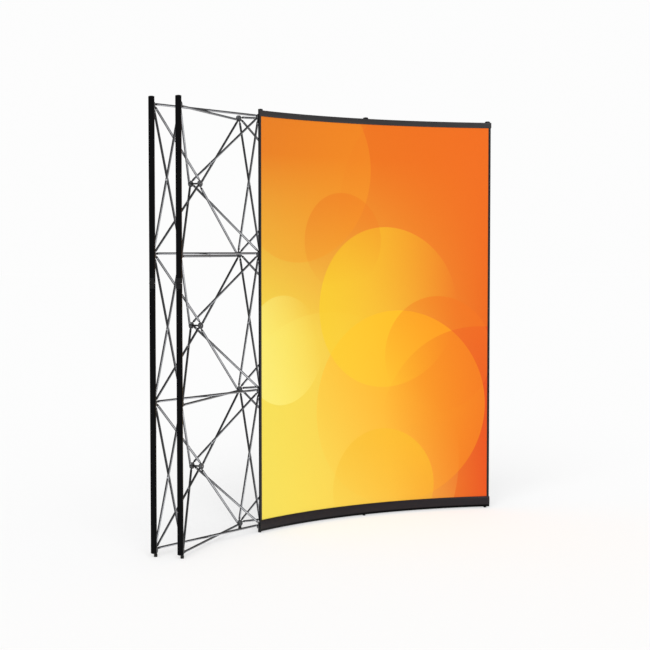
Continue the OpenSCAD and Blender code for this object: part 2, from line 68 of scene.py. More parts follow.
SLOT_WIDTH = 0.0041
SLOT_FLOOR = 0.0045
SLOT_BACK = 0.0038
TUBE_D = 0.012
CROSS_GAP = 0.0014
STRUT_SIDE = (TUBE_D + CROSS_GAP) / 2
NYLON_GREY = (0.080, 0.082, 0.086, 1)

# The wall's centre of curvature lies this far in front of the origin
CURVE_CENTRE = FRONT_RADIUS + REAR_CENTRE_DEPTH + HUB_T / 2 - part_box("rear_centre_hubs")[1].y

# faces is 1 where a hub's closed face looks to the front, and -1 where it looks to the back
Hub = namedtuple("Hub", "place angle faces")
Strut = namedtuple("Strut", "ends hubs to_partner")


def back_dir(angle):
    return Vector((math.sin(angle), math.cos(angle), 0))


def right_dir(angle):
    return Vector((math.cos(angle), -math.sin(angle), 0))


def line_angle(line):
    return (line - BAYS / 2) * BAY_ANGLE


def row_height(row):
    return FOOT_HEIGHT + row * ROW_PITCH


def hub_at(row, line, depth, faces):
    """A hub this far behind the front ones; half a row and half a line on is a bay's middle."""
    angle = line_angle(line)
    place = (FRONT_RADIUS + depth) * back_dir(angle) + Vector((0, -CURVE_CENTRE, row_height(row)))
    return Hub(place, angle, faces)


def front_hub(row, line):
    return hub_at(row, line, 0, 1)


def rear_hub(row, line):
    return hub_at(row, line, FRAME_DEPTH, -1)


def front_centre_hub(row, bay):
    return hub_at(row + 0.5, bay + 0.5, FRONT_CENTRE_DEPTH, 1)


def rear_centre_hub(row, bay):
    return hub_at(row + 0.5, bay + 0.5, REAR_CENTRE_DEPTH, -1)


def across(vector, normal):
    """The direction of a vector once it is laid flat across a normal."""
    return (vector - vector.dot(normal) * normal).normalized()


def pin_point(hub, towards, hand):
    normal = back_dir(hub.angle)
    spoke = across(towards - hub.place, normal)
    return hub.place + PIN_REACH * spoke + hand * STRUT_SIDE * normal.cross(spoke)


def crossing(front_1, rear_1, front_2, rear_2):
    """Two struts that cross, a tube's width and a small gap apart where they are riveted."""
    ends_1 = [pin_point(front_1, rear_1.place, 1), pin_point(rear_1, front_1.place, -1)]
    ends_2 = [pin_point(front_2, rear_2.place, 1), pin_point(rear_2, front_2.place, -1)]
    normal = (ends_1[1] - ends_1[0]).cross(ends_2[1] - ends_2[0]).normalized()
    gap = (ends_2[0] - ends_1[0]).dot(normal)
    to_second = normal if gap > 0 else -normal
    move = (2 * STRUT_SIDE - abs(gap)) / 2 * to_second
    return (
        Strut([p - move for p in ends_1], (front_1, rear_1), to_second),
        Strut([p + move for p in ends_2], (front_2, rear_2), -to_second),
    )


def edge_crossing(here, there):
    """The two struts from one pair of corner hubs to the next; each pair is a (row, line)."""
    return crossing(front_hub(*here), rear_hub(*there), front_hub(*there), rear_hub(*here))


def corner_crossing(bay, corner):
    """The two struts from a (row, bay)'s middle to the pair of hubs at one of its corners."""
    return crossing(
        front_hub(*corner), rear_centre_hub(*bay), front_centre_hub(*bay), rear_hub(*corner)
    )


row_crossings = [[edge_crossing((i, j), (i, j + 1)) for i in range(ROWS + 1)] for j in range(BAYS)]
column_crossings = [[edge_crossing((i, j), (i + 1, j)) for i in range(ROWS)] for j in range(BAYS + 1)]
corner_crossings = [
    [
        corner_crossing((i, j), (i + up, j + over))
        for i in range(ROWS) for up in (0, 1) for over in (0, 1)
    ]
    for j in range(BAYS)
]
edge_crossings = [pair for line in row_crossings + column_crossings for pair in line]
diagonal_crossings = [pair for line in corner_crossings for pair in line]
all_crossings = edge_crossings + diagonal_crossings


def strut_ends(crossings):
    """Each strut end's pin point, the direction of its tube, the axis of its pin, and its hub."""
    found = []
    for strut in (strut for pair in crossings for strut in pair):
        for k in (0, 1):
            along = (strut.ends[1 - k] - strut.ends[k]).normalized()
            pin_axis = back_dir(strut.hubs[k].angle).cross(along).normalized()
            found.append((strut.ends[k], along, pin_axis, strut.hubs[k]))
    return found


def give(tree, made, inputs):
    """Gives a node its inputs: a socket or a list of them is linked, and another value is set."""
    for key, value in inputs.items():
        if isinstance(value, (bpy.types.NodeSocket, list)):
            for source in value if isinstance(value, list) else [value]:
                tree.links.new(source, made.inputs[key])
        else:
            made.inputs[key].default_value = value


def add_node(tree, kind, inputs=None, output=0, **settings):
    """Adds a node with its settings and inputs, and returns one of its outputs."""
    made = tree.nodes.new(kind)
    for key, value in settings.items():
        setattr(made, key, value)
    give(tree, made, inputs or {})
    return made.outputs[output]


def vector_of(tree, x, y, z):
    return add_node(tree, "ShaderNodeCombineXYZ", {"X": x, "Y": y, "Z": z})


def new_finish(name):
    """An empty material with its node tree and its one surface shader."""
    material = bpy.data.materials.new(name)
    material.use_nodes = True
    tree = material.node_tree
    return material, tree, tree.nodes["Principled BSDF"]


def noise(tree, scale, detail=2.0, vector=None):
    vector = vector or add_node(tree, "ShaderNodeTexCoord", output="Object")
    return add_node(tree, "ShaderNodeTexNoise", {"Vector": vector, "Scale": scale, "Detail": detail})


# Most of a noise pattern's values lie between these two
PATTERN_LOW = 0.3
PATTERN_HIGH = 0.7


def spread(tree, value, low, high, start=PATTERN_LOW, end=PATTERN_HIGH):
    """A value that goes from low to high as the given one goes from start to end."""
    ends = {"Value": value, "From Min": start, "From Max": end, "To Min": low, "To Max": high}
    return add_node(tree, "ShaderNodeMapRange", ends)


def tint(tree, pattern, dark, light):
    """A colour between two, by a pattern's middle range."""
    colour = add_node(tree, "ShaderNodeValToRGB", {"Fac": pattern})
    stops = colour.node.color_ramp.elements
    stops[0].position, stops[0].color = PATTERN_LOW, dark
    stops[1].position, stops[1].color = PATTERN_HIGH, light
    return colour


def shades(tree, pattern, colour, dark, light):
    """Shades of one colour, from dark to light times as bright."""
    ends = [(*[min(1, part * factor) for part in colour[:3]], 1) for factor in (dark, light)]
    return tint(tree, pattern, *ends)


def bump(tree, height, strength, distance=0.0001):
    inputs = {"Height": height, "Strength": strength, "Distance": distance}
    return add_node(tree, "ShaderNodeBump", inputs)


def moulded_finish(name, colour, roughness, grain=1500.0):
    """Moulded plastic: a fine spark-eroded grain, and slow changes of shade and gloss."""
    material, tree, shader = new_finish(name)
    give(tree, shader, {
        "Base Color": shades(tree, noise(tree, 18.0, 3.0), colour, 0.75, 1.35),
        "Roughness": spread(tree, noise(tree, 90.0, 4.0), roughness - 0.07, roughness + 0.09),
        "Specular IOR Level": 0.28,
        "Normal": bump(tree, noise(tree, grain), 0.25),
    })
    return material


hub_nylon = moulded_finish("hub_nylon", NYLON_GREY, 0.46)


def new_object(name, data):
    made = bpy.data.objects.new(name, data)
    bpy.context.scene.collection.objects.link(made)
    return made


def new_shape(name, work):
    """A mesh object from bmesh work, with its faces turned outwards."""
    bmesh.ops.recalc_face_normals(work, faces=work.faces)
    mesh = bpy.data.meshes.new(name)
    work.to_mesh(mesh)
    work.free()
    return new_object(name, mesh)


def mm(*points):
    """Points in metres from their values in millimetres."""
    return [tuple(part / 1000 for part in point) for point in points]


def add_rings(work, rings):
    """One closed solid over a stack of rings of points; a ring of one point is a pole."""
    made = [[work.verts.new(point) for point in ring] for ring in rings]
    count = max(len(ring) for ring in made)
    for low, high in zip(made, made[1:]):
        for k in range(count):
            n = k + 1
            corners = [low[k % len(low)], low[n % len(low)], high[n % len(high)], high[k % len(high)]]
            work.faces.new(list(dict.fromkeys(corners)))
    for ring in (made[0], made[-1]):
        if len(ring) > 1:
            work.faces.new(ring)


def add_turned(work, profile, sides, place=Matrix()):
    """A solid turned about Z from (radius, height) points, the first and last on the axis."""
    rings = []
    for radius, height in profile:
        turns = [2 * math.pi * k / sides for k in range(sides if radius > 0 else 1)]
        ring = [Vector((radius * math.cos(t), radius * math.sin(t), height)) for t in turns]
        rings.append([place @ point for point in ring])
    add_rings(work, rings)


def turned(name, profile, sides):
    work = bmesh.new()
    add_turned(work, profile, sides)
    return new_shape(name, work)


Place = namedtuple("Place", "point x_axis z_axis kind length", defaults=(0, 1))


def placed_points(name, places):
    """Loose points that a tree puts shapes on."""
    mesh = bpy.data.meshes.new(name)
    mesh.from_pydata([place.point for place in places], [], [])
    for label in ("x_axis", "z_axis"):
        values = [part for place in places for part in getattr(place, label)]
        mesh.attributes.new(label, "FLOAT_VECTOR", "POINT").data.foreach_set("vector", values)
    for label, kind in (("kind", "INT"), ("length", "FLOAT")):
        values = [getattr(place, label) for place in places]
        mesh.attributes.new(label, kind, "POINT").data.foreach_set("value", values)
    return new_object(name, mesh)


def new_tree(name, **kinds):
    """A geometry tree with named inputs, its start node's outputs and its end node."""
    tree = bpy.data.node_groups.new(name, "GeometryNodeTree")
    for label, kind in (("Geometry", "Geometry"), *kinds.items()):
        tree.interface.new_socket(label, in_out="INPUT", socket_type="NodeSocket" + kind)
    tree.interface.new_socket("Geometry", in_out="OUTPUT", socket_type="NodeSocketGeometry")
    return tree, tree.nodes.new("NodeGroupInput").outputs, tree.nodes.new("NodeGroupOutput")


def named_value(tree, label, kind):
    return add_node(tree, "GeometryNodeInputNamedAttribute", {"Name": label}, data_type=kind)


def keep_value(tree, geometry, label, value, kind, domain):
    """Keeps a value on a geometry under a name."""
    inputs = {"Geometry": geometry, "Name": label, "Value": value}
    return add_node(tree, "GeometryNodeStoreNamedAttribute", inputs, data_type=kind, domain=domain)


def put_on_points(tree, points, shape, kind=0):
    """Puts a shape on each point of a kind, turned by the point's two axes, as long as it says."""
    axes = {
        "Primary Axis": named_value(tree, "z_axis", "FLOAT_VECTOR"),
        "Secondary Axis": named_value(tree, "x_axis", "FLOAT_VECTOR"),
    }
    kinds = {2: named_value(tree, "kind", "INT"), 3: kind}
    return add_node(tree, "GeometryNodeInstanceOnPoints", {
        "Points": points,
        "Selection": add_node(tree, "FunctionNodeCompare", kinds, data_type="INT", operation="EQUAL"),
        "Instance": shape,
        "Rotation": add_node(
            tree, "FunctionNodeAxesToRotation", axes, primary_axis="Z", secondary_axis="X"
        ),
        "Scale": vector_of(tree, 1.0, 1.0, named_value(tree, "length", "FLOAT")),
    })


def object_shape(tree, given):
    return add_node(tree, "GeometryNodeObjectInfo", {"Object": given}, "Geometry")


def put_given(tree, given, label, kind=0):
    """Puts the object under one of a tree's inputs on the tree's own points of a kind."""
    return put_on_points(tree, given["Geometry"], object_shape(tree, given[label]), kind)


def cut_away(tree, solid, *cutters):
    real = add_node(tree, "GeometryNodeRealizeInstances", {"Geometry": solid})
    solids = {"Mesh 1": real, "Mesh 2": list(cutters)}
    return add_node(tree, "GeometryNodeMeshBoolean", solids, solver="MANIFOLD", operation="DIFFERENCE")


CREASE = math.radians(35)


def finished(tree, geometry, material):
    """One real mesh, smooth but for its sharp edges, in one material."""
    real = add_node(tree, "GeometryNodeRealizeInstances", {"Geometry": geometry})
    angles = {0: add_node(tree, "GeometryNodeInputMeshEdgeAngle"), 1: CREASE}
    sharp = add_node(tree, "FunctionNodeCompare", angles, operation="GREATER_THAN")
    marked = keep_value(tree, real, "sharp_edge", sharp, "BOOLEAN", "EDGE")
    smooth = add_node(tree, "GeometryNodeSetShadeSmooth", {"Geometry": marked})
    return add_node(tree, "GeometryNodeSetMaterial", {"Geometry": smooth, "Material": material})


def grow(name, holder, tree, **sizes):
    """Runs a tree on its holder, and keeps the result as a plain mesh under a new name."""
    modifier = holder.modifiers.new(tree.name, "NODES")
    modifier.node_group = tree
    for item in tree.interface.items_tree:
        if item.in_out == "INPUT" and item.name in sizes:
            modifier[item.identifier] = sizes[item.name]
    seen = holder.evaluated_get(bpy.context.evaluated_depsgraph_get())
    mesh = bpy.data.meshes.new_from_object(seen)
    mesh.name = name
    holder.modifiers.remove(modifier)
    bpy.data.objects.remove(holder)
    return new_object(name, mesh)


def put_away(*shapes):
    for shape in shapes:
        bpy.data.objects.remove(shape)


def fit_piece(piece, body, slot, *nodes):
    """Puts a finished piece on its body, in place of its CAD nodes; the slot it is given is not used.
    """
    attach(piece, body)
    if nodes:
        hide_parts(*nodes)


# The hub's blank: slots are cut from its lower side, and its upper face stays closed
hub_profile = mm(
    (0, -7), (15.5, -7), (16.4, -6.6), (16.9, -5.8), (17, -1), (16.4, -0.5), (16.4, 0.5), (17, 1),
    (16.9, 5.4), (16.4, 6.6), (15.5, 7), (14.1, 7), (13.5, 6.7), (13.1, 5.6), (7.2, 5.6), (6.8, 6.7),
    (6.2, 7), (3.8, 7), (3.5, 5.5), (0, 5.5),
)
hub_blank = turned("hub_blank", hub_profile, HUB_SIDES)

hub_tree, given, end = new_tree(
    "hub_moulding", Blank="Object", Slot_Size="Vector", Slot_Centre="Vector", Rib_Size="Vector",
    Rib_Radius="Float", Rib_Height="Vector", Ribs="Int", Finish="Material",
)
slot_cube = add_node(hub_tree, "GeometryNodeMeshCube", {"Size": given["Slot_Size"]})
slot_moved = add_node(
    hub_tree, "GeometryNodeTransform", {"Geometry": slot_cube, "Translation": given["Slot_Centre"]}
)
rib_ring = {"Vertices": given["Ribs"], "Radius": given["Rib_Radius"]}
outwards = {"Vector": add_node(hub_tree, "GeometryNodeInputPosition")}
ribs = add_node(hub_tree, "GeometryNodeInstanceOnPoints", {
    "Points": add_node(hub_tree, "GeometryNodeMeshCircle", rib_ring),
    "Instance": add_node(hub_tree, "GeometryNodeMeshCube", {"Size": given["Rib_Size"]}),
    "Rotation": add_node(hub_tree, "FunctionNodeAlignRotationToVector", outwards, axis="X"),
})
ribs_up = {"Geometry": ribs, "Translation": given["Rib_Height"]}
ribs_up = add_node(hub_tree, "GeometryNodeTransform", ribs_up)
rib_sets = put_on_points(hub_tree, given["Geometry"], ribs_up)
slots = put_on_points(hub_tree, given["Geometry"], slot_moved, 1)
slotted = cut_away(hub_tree, put_given(hub_tree, given, "Blank"), slots)
hub_parts = add_node(hub_tree, "GeometryNodeJoinGeometry", {"Geometry": [rib_sets, slotted]})
give(hub_tree, end, {"Geometry": finished(hub_tree, hub_parts, given["Finish"])})

all_ends = strut_ends(all_crossings)


def hub_places(hubs):
    """The hubs' points, and those of every slot in them."""
    places = []
    for hub in hubs:
        out = -hub.faces * back_dir(hub.angle)
        places.append(Place(hub.place, right_dir(hub.angle), out))
        for point, along, pin_axis, own in all_ends:
            if own == hub:
                slot_dir = across(along, -out)
                places.append(Place(point, slot_dir, slot_dir.cross(-out), 1))
    return places


hub_sets = {
    "front_hub": [front_hub(i, j) for j in range(BAYS + 1) for i in range(ROWS + 1)],
    "rear_hub": [rear_hub(i, j) for j in range(BAYS + 1) for i in range(ROWS + 1)],
    "front_centre_hub": [front_centre_hub(i, j) for j in range(BAYS) for i in range(ROWS)],
    "rear_centre_hub": [rear_centre_hub(i, j) for j in range(BAYS) for i in range(ROWS)],
}
for name, hubs in hub_sets.items():
    made = grow(
        name + "_mouldings", placed_points(name, hub_places(hubs)), hub_tree,
        Blank=hub_blank,
        Slot_Size=Vector((HUB_D, SLOT_FLOOR + HUB_T, SLOT_WIDTH)),
        Slot_Centre=Vector((HUB_D / 2 - SLOT_BACK, (HUB_T - SLOT_FLOOR) / 2, 0)),
        Rib_Size=RIB_SIZE, Rib_Radius=RIB_RADIUS, Rib_Height=Vector((0, 0, RIB_HEIGHT)), Ribs=RIBS,
        Finish=hub_nylon,
    )
    nodes = [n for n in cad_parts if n.startswith(name + "s")]
    fit_piece(made, "frame", "hub_nylon", *nodes)
put_away(hub_blank)


# ---- Hub screws ----
# One zinc-plated steel screw in the middle of a hub's closed face holds its two mouldings
# together. Its head sits in a moulded well and has a round socket. Hubs with a bar before them
# have the bar's peg there instead.
ZINC = (0.46, 0.47, 0.49, 1)

stamp_tree, given, end = new_tree(
    "placed_shapes", Shape_0="Object", Shape_1="Object", Shape_2="Object", Finish="Material"
)
stamped = [put_given(stamp_tree, given, f"Shape_{k}", k) for k in range(3)]
stamped = add_node(stamp_tree, "GeometryNodeJoinGeometry", {"Geometry": stamped})
give(stamp_tree, end, {"Geometry": finished(stamp_tree, stamped, given["Finish"])})


def stamp(name, shapes, places, finish, body, slot, *nodes):
    """One piece of up to three shapes, put on places; each place's kind says which."""
    points = placed_points(name + "_places", places)
    given_shapes = {f"Shape_{k}": shape for k, shape in enumerate(shapes)}
    fit_piece(grow(name, points, stamp_tree, Finish=finish, **given_shapes), body, slot, *nodes)


def on_hub(hub, out, reach=0):
    return Place(hub.place + reach * out, right_dir(hub.angle), out)


def plated_finish(name, colour, roughness):
    """Plating on steel: a cloudy film, and fine scratches that dull it in places."""
    material, tree, shader = new_finish(name)
    dull = noise(tree, 420.0, 5.0)
    give(tree, shader, {
        "Base Color": shades(tree, noise(tree, 70.0, 3.0), colour, 0.72, 1.15),
        "Roughness": spread(tree, dull, roughness - 0.1, roughness + 0.14),
        "Metallic": 1.0,
        "Normal": bump(tree, dull, 0.12),
    })
    return material


zinc_steel = plated_finish("zinc_steel", ZINC, 0.34)
screw_profile = mm(
    (0, 4.8), (3.1, 4.8), (3.1, 6), (2.7, 6.6), (1.8, 6.8), (1.5, 6.7), (1.5, 5.8), (0, 5.8)
)
screw_shape = turned("screw_shape", screw_profile, 18)
screw_places = [
    on_hub(hub, -hub.faces * back_dir(hub.angle))
    for name, hubs in hub_sets.items() for hub in hubs
    if name != "front_hub" or hub.angle < line_angle(0.5)
]
stamp("hub_screws", [screw_shape], screw_places, zinc_steel, "frame", "zinc_steel")
put_away(screw_shape)


# ---- Strut tubes ----
# 120 struts of drawn aluminium tube, anodised grey. A groove rolled near each end grips the tip
# inside it, and each tube ends at its tip's shoulder.
TUBE_START = 0.018
TUBE_SIDES = 16
TUBE_GREY = (0.0355, 0.036, 0.0375, 1)
# How far along the tube from its end, and the share of its radius there
ROLLED = [(0, 0.95), (0.0005, 1), (0.0068, 1), (0.0075, 0.92), (0.0088, 0.92), (0.0095, 1)]
# Each tube takes its grain from another stretch of the pattern, this far on
GRAIN_STEP = 1.7

tube_tree, given, end = new_tree("strut_tubes", Radius="Float", Sides="Int", Finish="Material")
circle = {"Resolution": given["Sides"], "Radius": given["Radius"]}
ring = add_node(tube_tree, "GeometryNodeCurvePrimitiveCircle", circle)
ring_place = add_node(tube_tree, "GeometryNodeInputPosition")
tubes = add_node(tube_tree, "GeometryNodeCurveToMesh", {
    "Curve": add_node(tube_tree, "GeometryNodeMeshToCurve", {"Mesh": given["Geometry"]}),
    "Profile Curve": keep_value(tube_tree, ring, "ring", ring_place, "FLOAT_VECTOR", "POINT"),
    "Scale": named_value(tube_tree, "swell", "FLOAT"),
    "Fill Caps": True,
})
give(tube_tree, end, {"Geometry": finished(tube_tree, tubes, given["Finish"])})


def tube_lines(name, crossings):
    """A line of points along each tube, with how far the tube swells at each."""
    points, edges, swells, lengths = [], [], [], []
    for number, strut in enumerate(strut for pair in crossings for strut in pair):
        along = strut.ends[1] - strut.ends[0]
        length = along.length - 2 * TUBE_START
        steps = ROLLED + [(length - step, swell) for step, swell in reversed(ROLLED)]
        for k, (step, swell) in enumerate(steps):
            points.append(strut.ends[0] + (TUBE_START + step) * along.normalized())
            swells.append(swell)
            lengths.append(step + GRAIN_STEP * number)
            if k:
                edges.append((len(points) - 2, len(points) - 1))
    mesh = bpy.data.meshes.new(name)
    mesh.from_pydata(points, edges, [])
    for label, values in (("swell", swells), ("along", lengths)):
        mesh.attributes.new(label, "FLOAT", "POINT").data.foreach_set("value", values)
    return new_object(name, mesh)


def xyz_of(tree, vector):
    return add_node(tree, "ShaderNodeSeparateXYZ", {"Vector": vector}).node.outputs


def attribute(tree, name, output):
    return add_node(tree, "ShaderNodeAttribute", None, output, attribute_name=name)


def math_node(tree, operation, *values):
    return add_node(tree, "ShaderNodeMath", dict(enumerate(values)), operation=operation)


# Anodised drawn tube: die lines run along it, with a few smudges from handling
grey_tube, tree, shader = new_finish("grey_anodised_tube")
fine_ring = {0: attribute(tree, "ring", "Vector"), "Scale": 1500.0}
fine_ring = xyz_of(tree, add_node(tree, "ShaderNodeVectorMath", fine_ring, operation="SCALE"))
lengthwise = math_node(tree, "MULTIPLY", attribute(tree, "along", "Fac"), 9.0)
die_lines = noise(tree, 1.0, 3.0, vector_of(tree, fine_ring["X"], fine_ring["Y"], lengthwise))
give(tree, shader, {
    "Base Color": shades(tree, die_lines, TUBE_GREY, 0.78, 1.2),
    "Roughness": spread(tree, noise(tree, 11.0, 4.0), 0.55, 0.65),
    "Metallic": 1.0,
    "Normal": bump(tree, die_lines, 0.15),
})

# The room's low light is kept to these tubes
lit_tubes = bpy.data.collections.new("lit_tubes")
tube_sets = {}
for bay, side in enumerate(("left", "middle", "right")):
    tube_sets[f"row_struts_{side}"] = row_crossings[bay]
    tube_sets[f"diagonal_struts_{side}"] = corner_crossings[bay]
for line in range(BAYS + 1):
    tube_sets[f"column_struts_{line + 1}"] = column_crossings[line]
for node, crossings in tube_sets.items():
    made = grow(
        node.replace("struts", "strut_tubes"), tube_lines(node + "_lines", crossings), tube_tree,
        Radius=TUBE_D / 2, Sides=TUBE_SIDES, Finish=grey_tube,
    )
    fit_piece(made, "frame", "strut_tube", node)
    lit_tubes.objects.link(made)


# ---- Strut tips ----
# A moulded black nylon tip in each end of every strut: a flat blade with a round eye goes into
# the hub's slot, and swells through a neck to a shoulder that closes the tube.
EYE_R = 0.0035
BLADE_END = 0.014
BLADE_END_HALF = 0.005
BLADE_TURN = 0.0095
NECK_SIDES = 12
tip_nylon = moulded_finish("tip_nylon", (0.010, 0.010, 0.011, 1), 0.42)


def inset(outline, amount):
    """An anticlockwise outline drawn in by an amount."""
    outline = [Vector(point) for point in outline]
    moved = []
    for k, here in enumerate(outline):
        side_1 = (here - outline[k - 1]).normalized()
        side_2 = (outline[(k + 1) % len(outline)] - here).normalized()
        inwards = Vector((-side_1.y - side_2.y, side_1.x + side_2.x)).normalized()
        lean = max(0.5, inwards.dot(Vector((-side_1.y, side_1.x))))
        moved.append(here + amount / lean * inwards)
    return moved


def add_raised(work, outline, levels, place=Matrix()):
    """A solid raised along Z from an outline, through (height, inset) levels."""
    rings = []
    for height, amount in levels:
        rings.append([place @ Vector((*point, height)) for point in inset(outline, amount)])
    add_rings(work, rings)


def raised(name, outline, levels, place=Matrix()):
    work = bmesh.new()
    add_raised(work, outline, levels, place)
    return new_shape(name, work)


eye_turns = [math.pi * (0.5 + k / 8) for k in range(9)]
blade_outline = [
    (BLADE_END, BLADE_END_HALF), (BLADE_TURN, EYE_R),
    *[(EYE_R * math.cos(t), EYE_R * math.sin(t)) for t in eye_turns],
    (BLADE_TURN, -EYE_R), (BLADE_END, -BLADE_END_HALF),
]
tip_work = bmesh.new()
add_raised(tip_work, blade_outline, mm((-1.75, 0.5), (-1.25, 0), (1.25, 0), (1.75, 0.5)))
# The neck's rings: how far along, half as wide and half as thick
neck_sizes = mm(
    (9, 3.4, 1.7), (12, 4.4, 3.2), (14, 5.3, 5.2), (14.4, 6, 6), (17.7, 6, 6), (18, 5.7, 5.7)
)
neck_turns = [2 * math.pi * k / NECK_SIDES for k in range(NECK_SIDES)]
add_rings(
    tip_work, [[(x, w * math.cos(t), h * math.sin(t)) for t in neck_turns] for x, w, h in neck_sizes]
)
tip_shape = new_shape("tip_shape", tip_work)

tip_sets = {"edge_strut_tips": edge_crossings, "diagonal_strut_tips": diagonal_crossings}
for node, crossings in tip_sets.items():
    tip_places = [Place(*tip[:3]) for tip in strut_ends(crossings)]
    stamp("moulded_" + node, [tip_shape], tip_places, tip_nylon, "frame", "tip_nylon", node)
put_away(tip_shape)


# ---- Hub pins ----
# Straight steel pins, pressed through each hub's slots and the eyes of the tips. They are the
# CAD's own, zinc-plated as the screws are.
def finish_nodes(material, *nodes):
    """Gives carried-over CAD parts their finish."""
    for node in nodes:
        for slot in bpy.data.objects[node].material_slots:
            slot.material = material


finish_nodes(zinc_steel, "hub_pins")


# ---- Crossing rivets ----
# Each pair of struts turns on a shouldered steel rivet. Its heads are domed and dished to sit on
# the round tubes, and its shoulder keeps the tubes apart.
RIVET_REACH = STRUT_SIDE + TUBE_D / 2 + 0.0012
rivet_head = mm((2.1, 2.8), (4, 2.6), (4, 0.8), (3.6, 0.4), (2.2, 0.1), (0, 0))
rivet_half = mm((3.5, 1.6), (2.1, 2.2)) + [(radius, RIVET_REACH - down) for radius, down in rivet_head]
rivet_profile = [(radius, -height) for radius, height in reversed(rivet_half)] + rivet_half
rivet_shape = turned("rivet_shape", rivet_profile, 16)


def nearest(strut, partner):
    """Where a strut comes nearest to the one that it crosses."""
    along = (strut.ends[1] - strut.ends[0]).normalized()
    other = (partner.ends[1] - partner.ends[0]).normalized()
    gap = strut.ends[0] - partner.ends[0]
    lean = along.dot(other)
    return strut.ends[0] + along * (lean * other.dot(gap) - along.dot(gap)) / (1 - lean * lean)


rivet_places = []
for strut, partner in all_crossings:
    middle = nearest(strut, partner) + STRUT_SIDE * strut.to_partner
    rivet_places.append(Place(middle, (strut.ends[1] - strut.ends[0]).normalized(), strut.to_partner))
stamp("crossing_rivets", [rivet_shape], rivet_places, zinc_steel, "frame", "zinc_steel", "strut_rivets")
put_away(rivet_shape)


# ---- Bay locks ----
# A ribbed post on each rear centre hub meets a cupped magnet on the front centre hub before it,
# and so holds the bay open. The post is black plastic, and the cup is zinc-plated steel.
black_plug = moulded_finish("black_plug", (0.007, 0.007, 0.0075, 1), 0.38, 1100.0)
post_profile = mm(
    (0, 0), (6, 0), (6, 1.4), (5.4, 2), (4.5, 2.4), (4.5, 31), (4.1, 31.4), (4.1, 32.6), (4.5, 33),
    (5.2, 35.4), (6.6, 35.8), (7, 36.3), (7, 39.2), (6.6, 39.8), (0, 39.8),
)
post_work = bmesh.new()
add_turned(post_work, post_profile, 28)
fin_outline = mm((-6.1, 1), (6.1, 1), (4.7, 18), (-4.7, 18))
fin_levels = mm((-0.6, 0.2), (-0.4, 0), (0.4, 0), (0.6, 0.2))
for turn in (0.25, 0.75):
    upright = Matrix.Rotation(turn * math.pi, 4, "Z") @ Matrix.Rotation(math.pi / 2, 4, "X")
    add_raised(post_work, fin_outline, fin_levels, upright)
post_shape = new_shape("post_shape", post_work)
post_places = [on_hub(hub, -back_dir(hub.angle), HUB_T / 2) for hub in hub_sets["rear_centre_hub"]]
stamp("bay_lock_posts", [post_shape], post_places, black_plug, "frame", "black_plug", "lock_posts")

cup_profile = mm(
    (0, 0), (6.7, 0), (7, 0.3), (7, 2.7), (6.7, 3), (5.8, 3), (5.6, 2.8), (5.3, 2.8), (5.1, 3), (0, 3)
)
cup_shape = turned("cup_shape", cup_profile, 28)
cup_places = [on_hub(hub, back_dir(hub.angle), HUB_T / 2) for hub in hub_sets["front_centre_hub"]]
stamp("bay_lock_magnets", [cup_shape], cup_places, zinc_steel, "frame", "zinc_steel", "lock_magnets")
put_away(post_shape, cup_shape)


# ---- Rubber feet ----
# Eight turned feet of black rubber under the lowest hubs. Three grooves leave four grip rings on
# each, and its stem is pressed into the hub.
foot_rubber, tree, shader = new_finish("foot_rubber")
dust = noise(tree, 55.0, 5.0)
give(tree, shader, {
    "Base Color": tint(tree, dust, (0.010, 0.010, 0.010, 1), (0.026, 0.025, 0.024, 1)),
    "Roughness": spread(tree, dust, 0.72, 0.9),
    "Specular IOR Level": 0.3,
    "Normal": bump(tree, noise(tree, 900.0, 4.0), 0.4, 0.0002),
})
grips = [(r, z + up) for z in (4, 6.6, 9.2) for r, up in ((9, 0), (8.3, 0.4), (8.3, 1), (9, 1.4))]
foot_profile = mm(
    (0, 0), (7.4, 0), (8, 0.5), (8.8, 1.8), (9, 2.6), *grips, (9, 12.8), (8.5, 15), (7.4, 16.7),
    (3, 16.7), (3, 23.7), (0, 23.7),
)
foot_shape = turned("foot_shape", foot_profile, 36)


def on_floor(hub):
    return Vector((hub.place.x, hub.place.y, 0))


UP = Vector((0, 0, 1))
lowest = [hub(0, line) for hub in (front_hub, rear_hub) for line in range(BAYS + 1)]
foot_places = [Place(on_floor(hub), right_dir(hub.angle), UP) for hub in lowest]
stamp("turned_feet", [foot_shape], foot_places, foot_rubber, "frame", "foot_rubber", "rubber_feet")
put_away(foot_shape)


# ---- Bar pegs ----
# Pegs of black coated steel in the hubs, which the bars push onto. They are the CAD's own, with a
# coat that is fine-grained and half matt.
black_steel, tree, shader = new_finish("black_steel")
coat = noise(tree, 700.0)
coat_shade = noise(tree, 30.0, 3.0)
give(tree, shader, {
    "Base Color": tint(tree, coat_shade, (0.004, 0.004, 0.0045, 1), (0.008, 0.008, 0.0085, 1)),
    "Roughness": spread(tree, coat, 0.34, 0.5),
    "Specular IOR Level": 0.15,
    "Normal": bump(tree, coat, 0.3, 0.0002),
})
finish_nodes(black_steel, "bar_pegs")


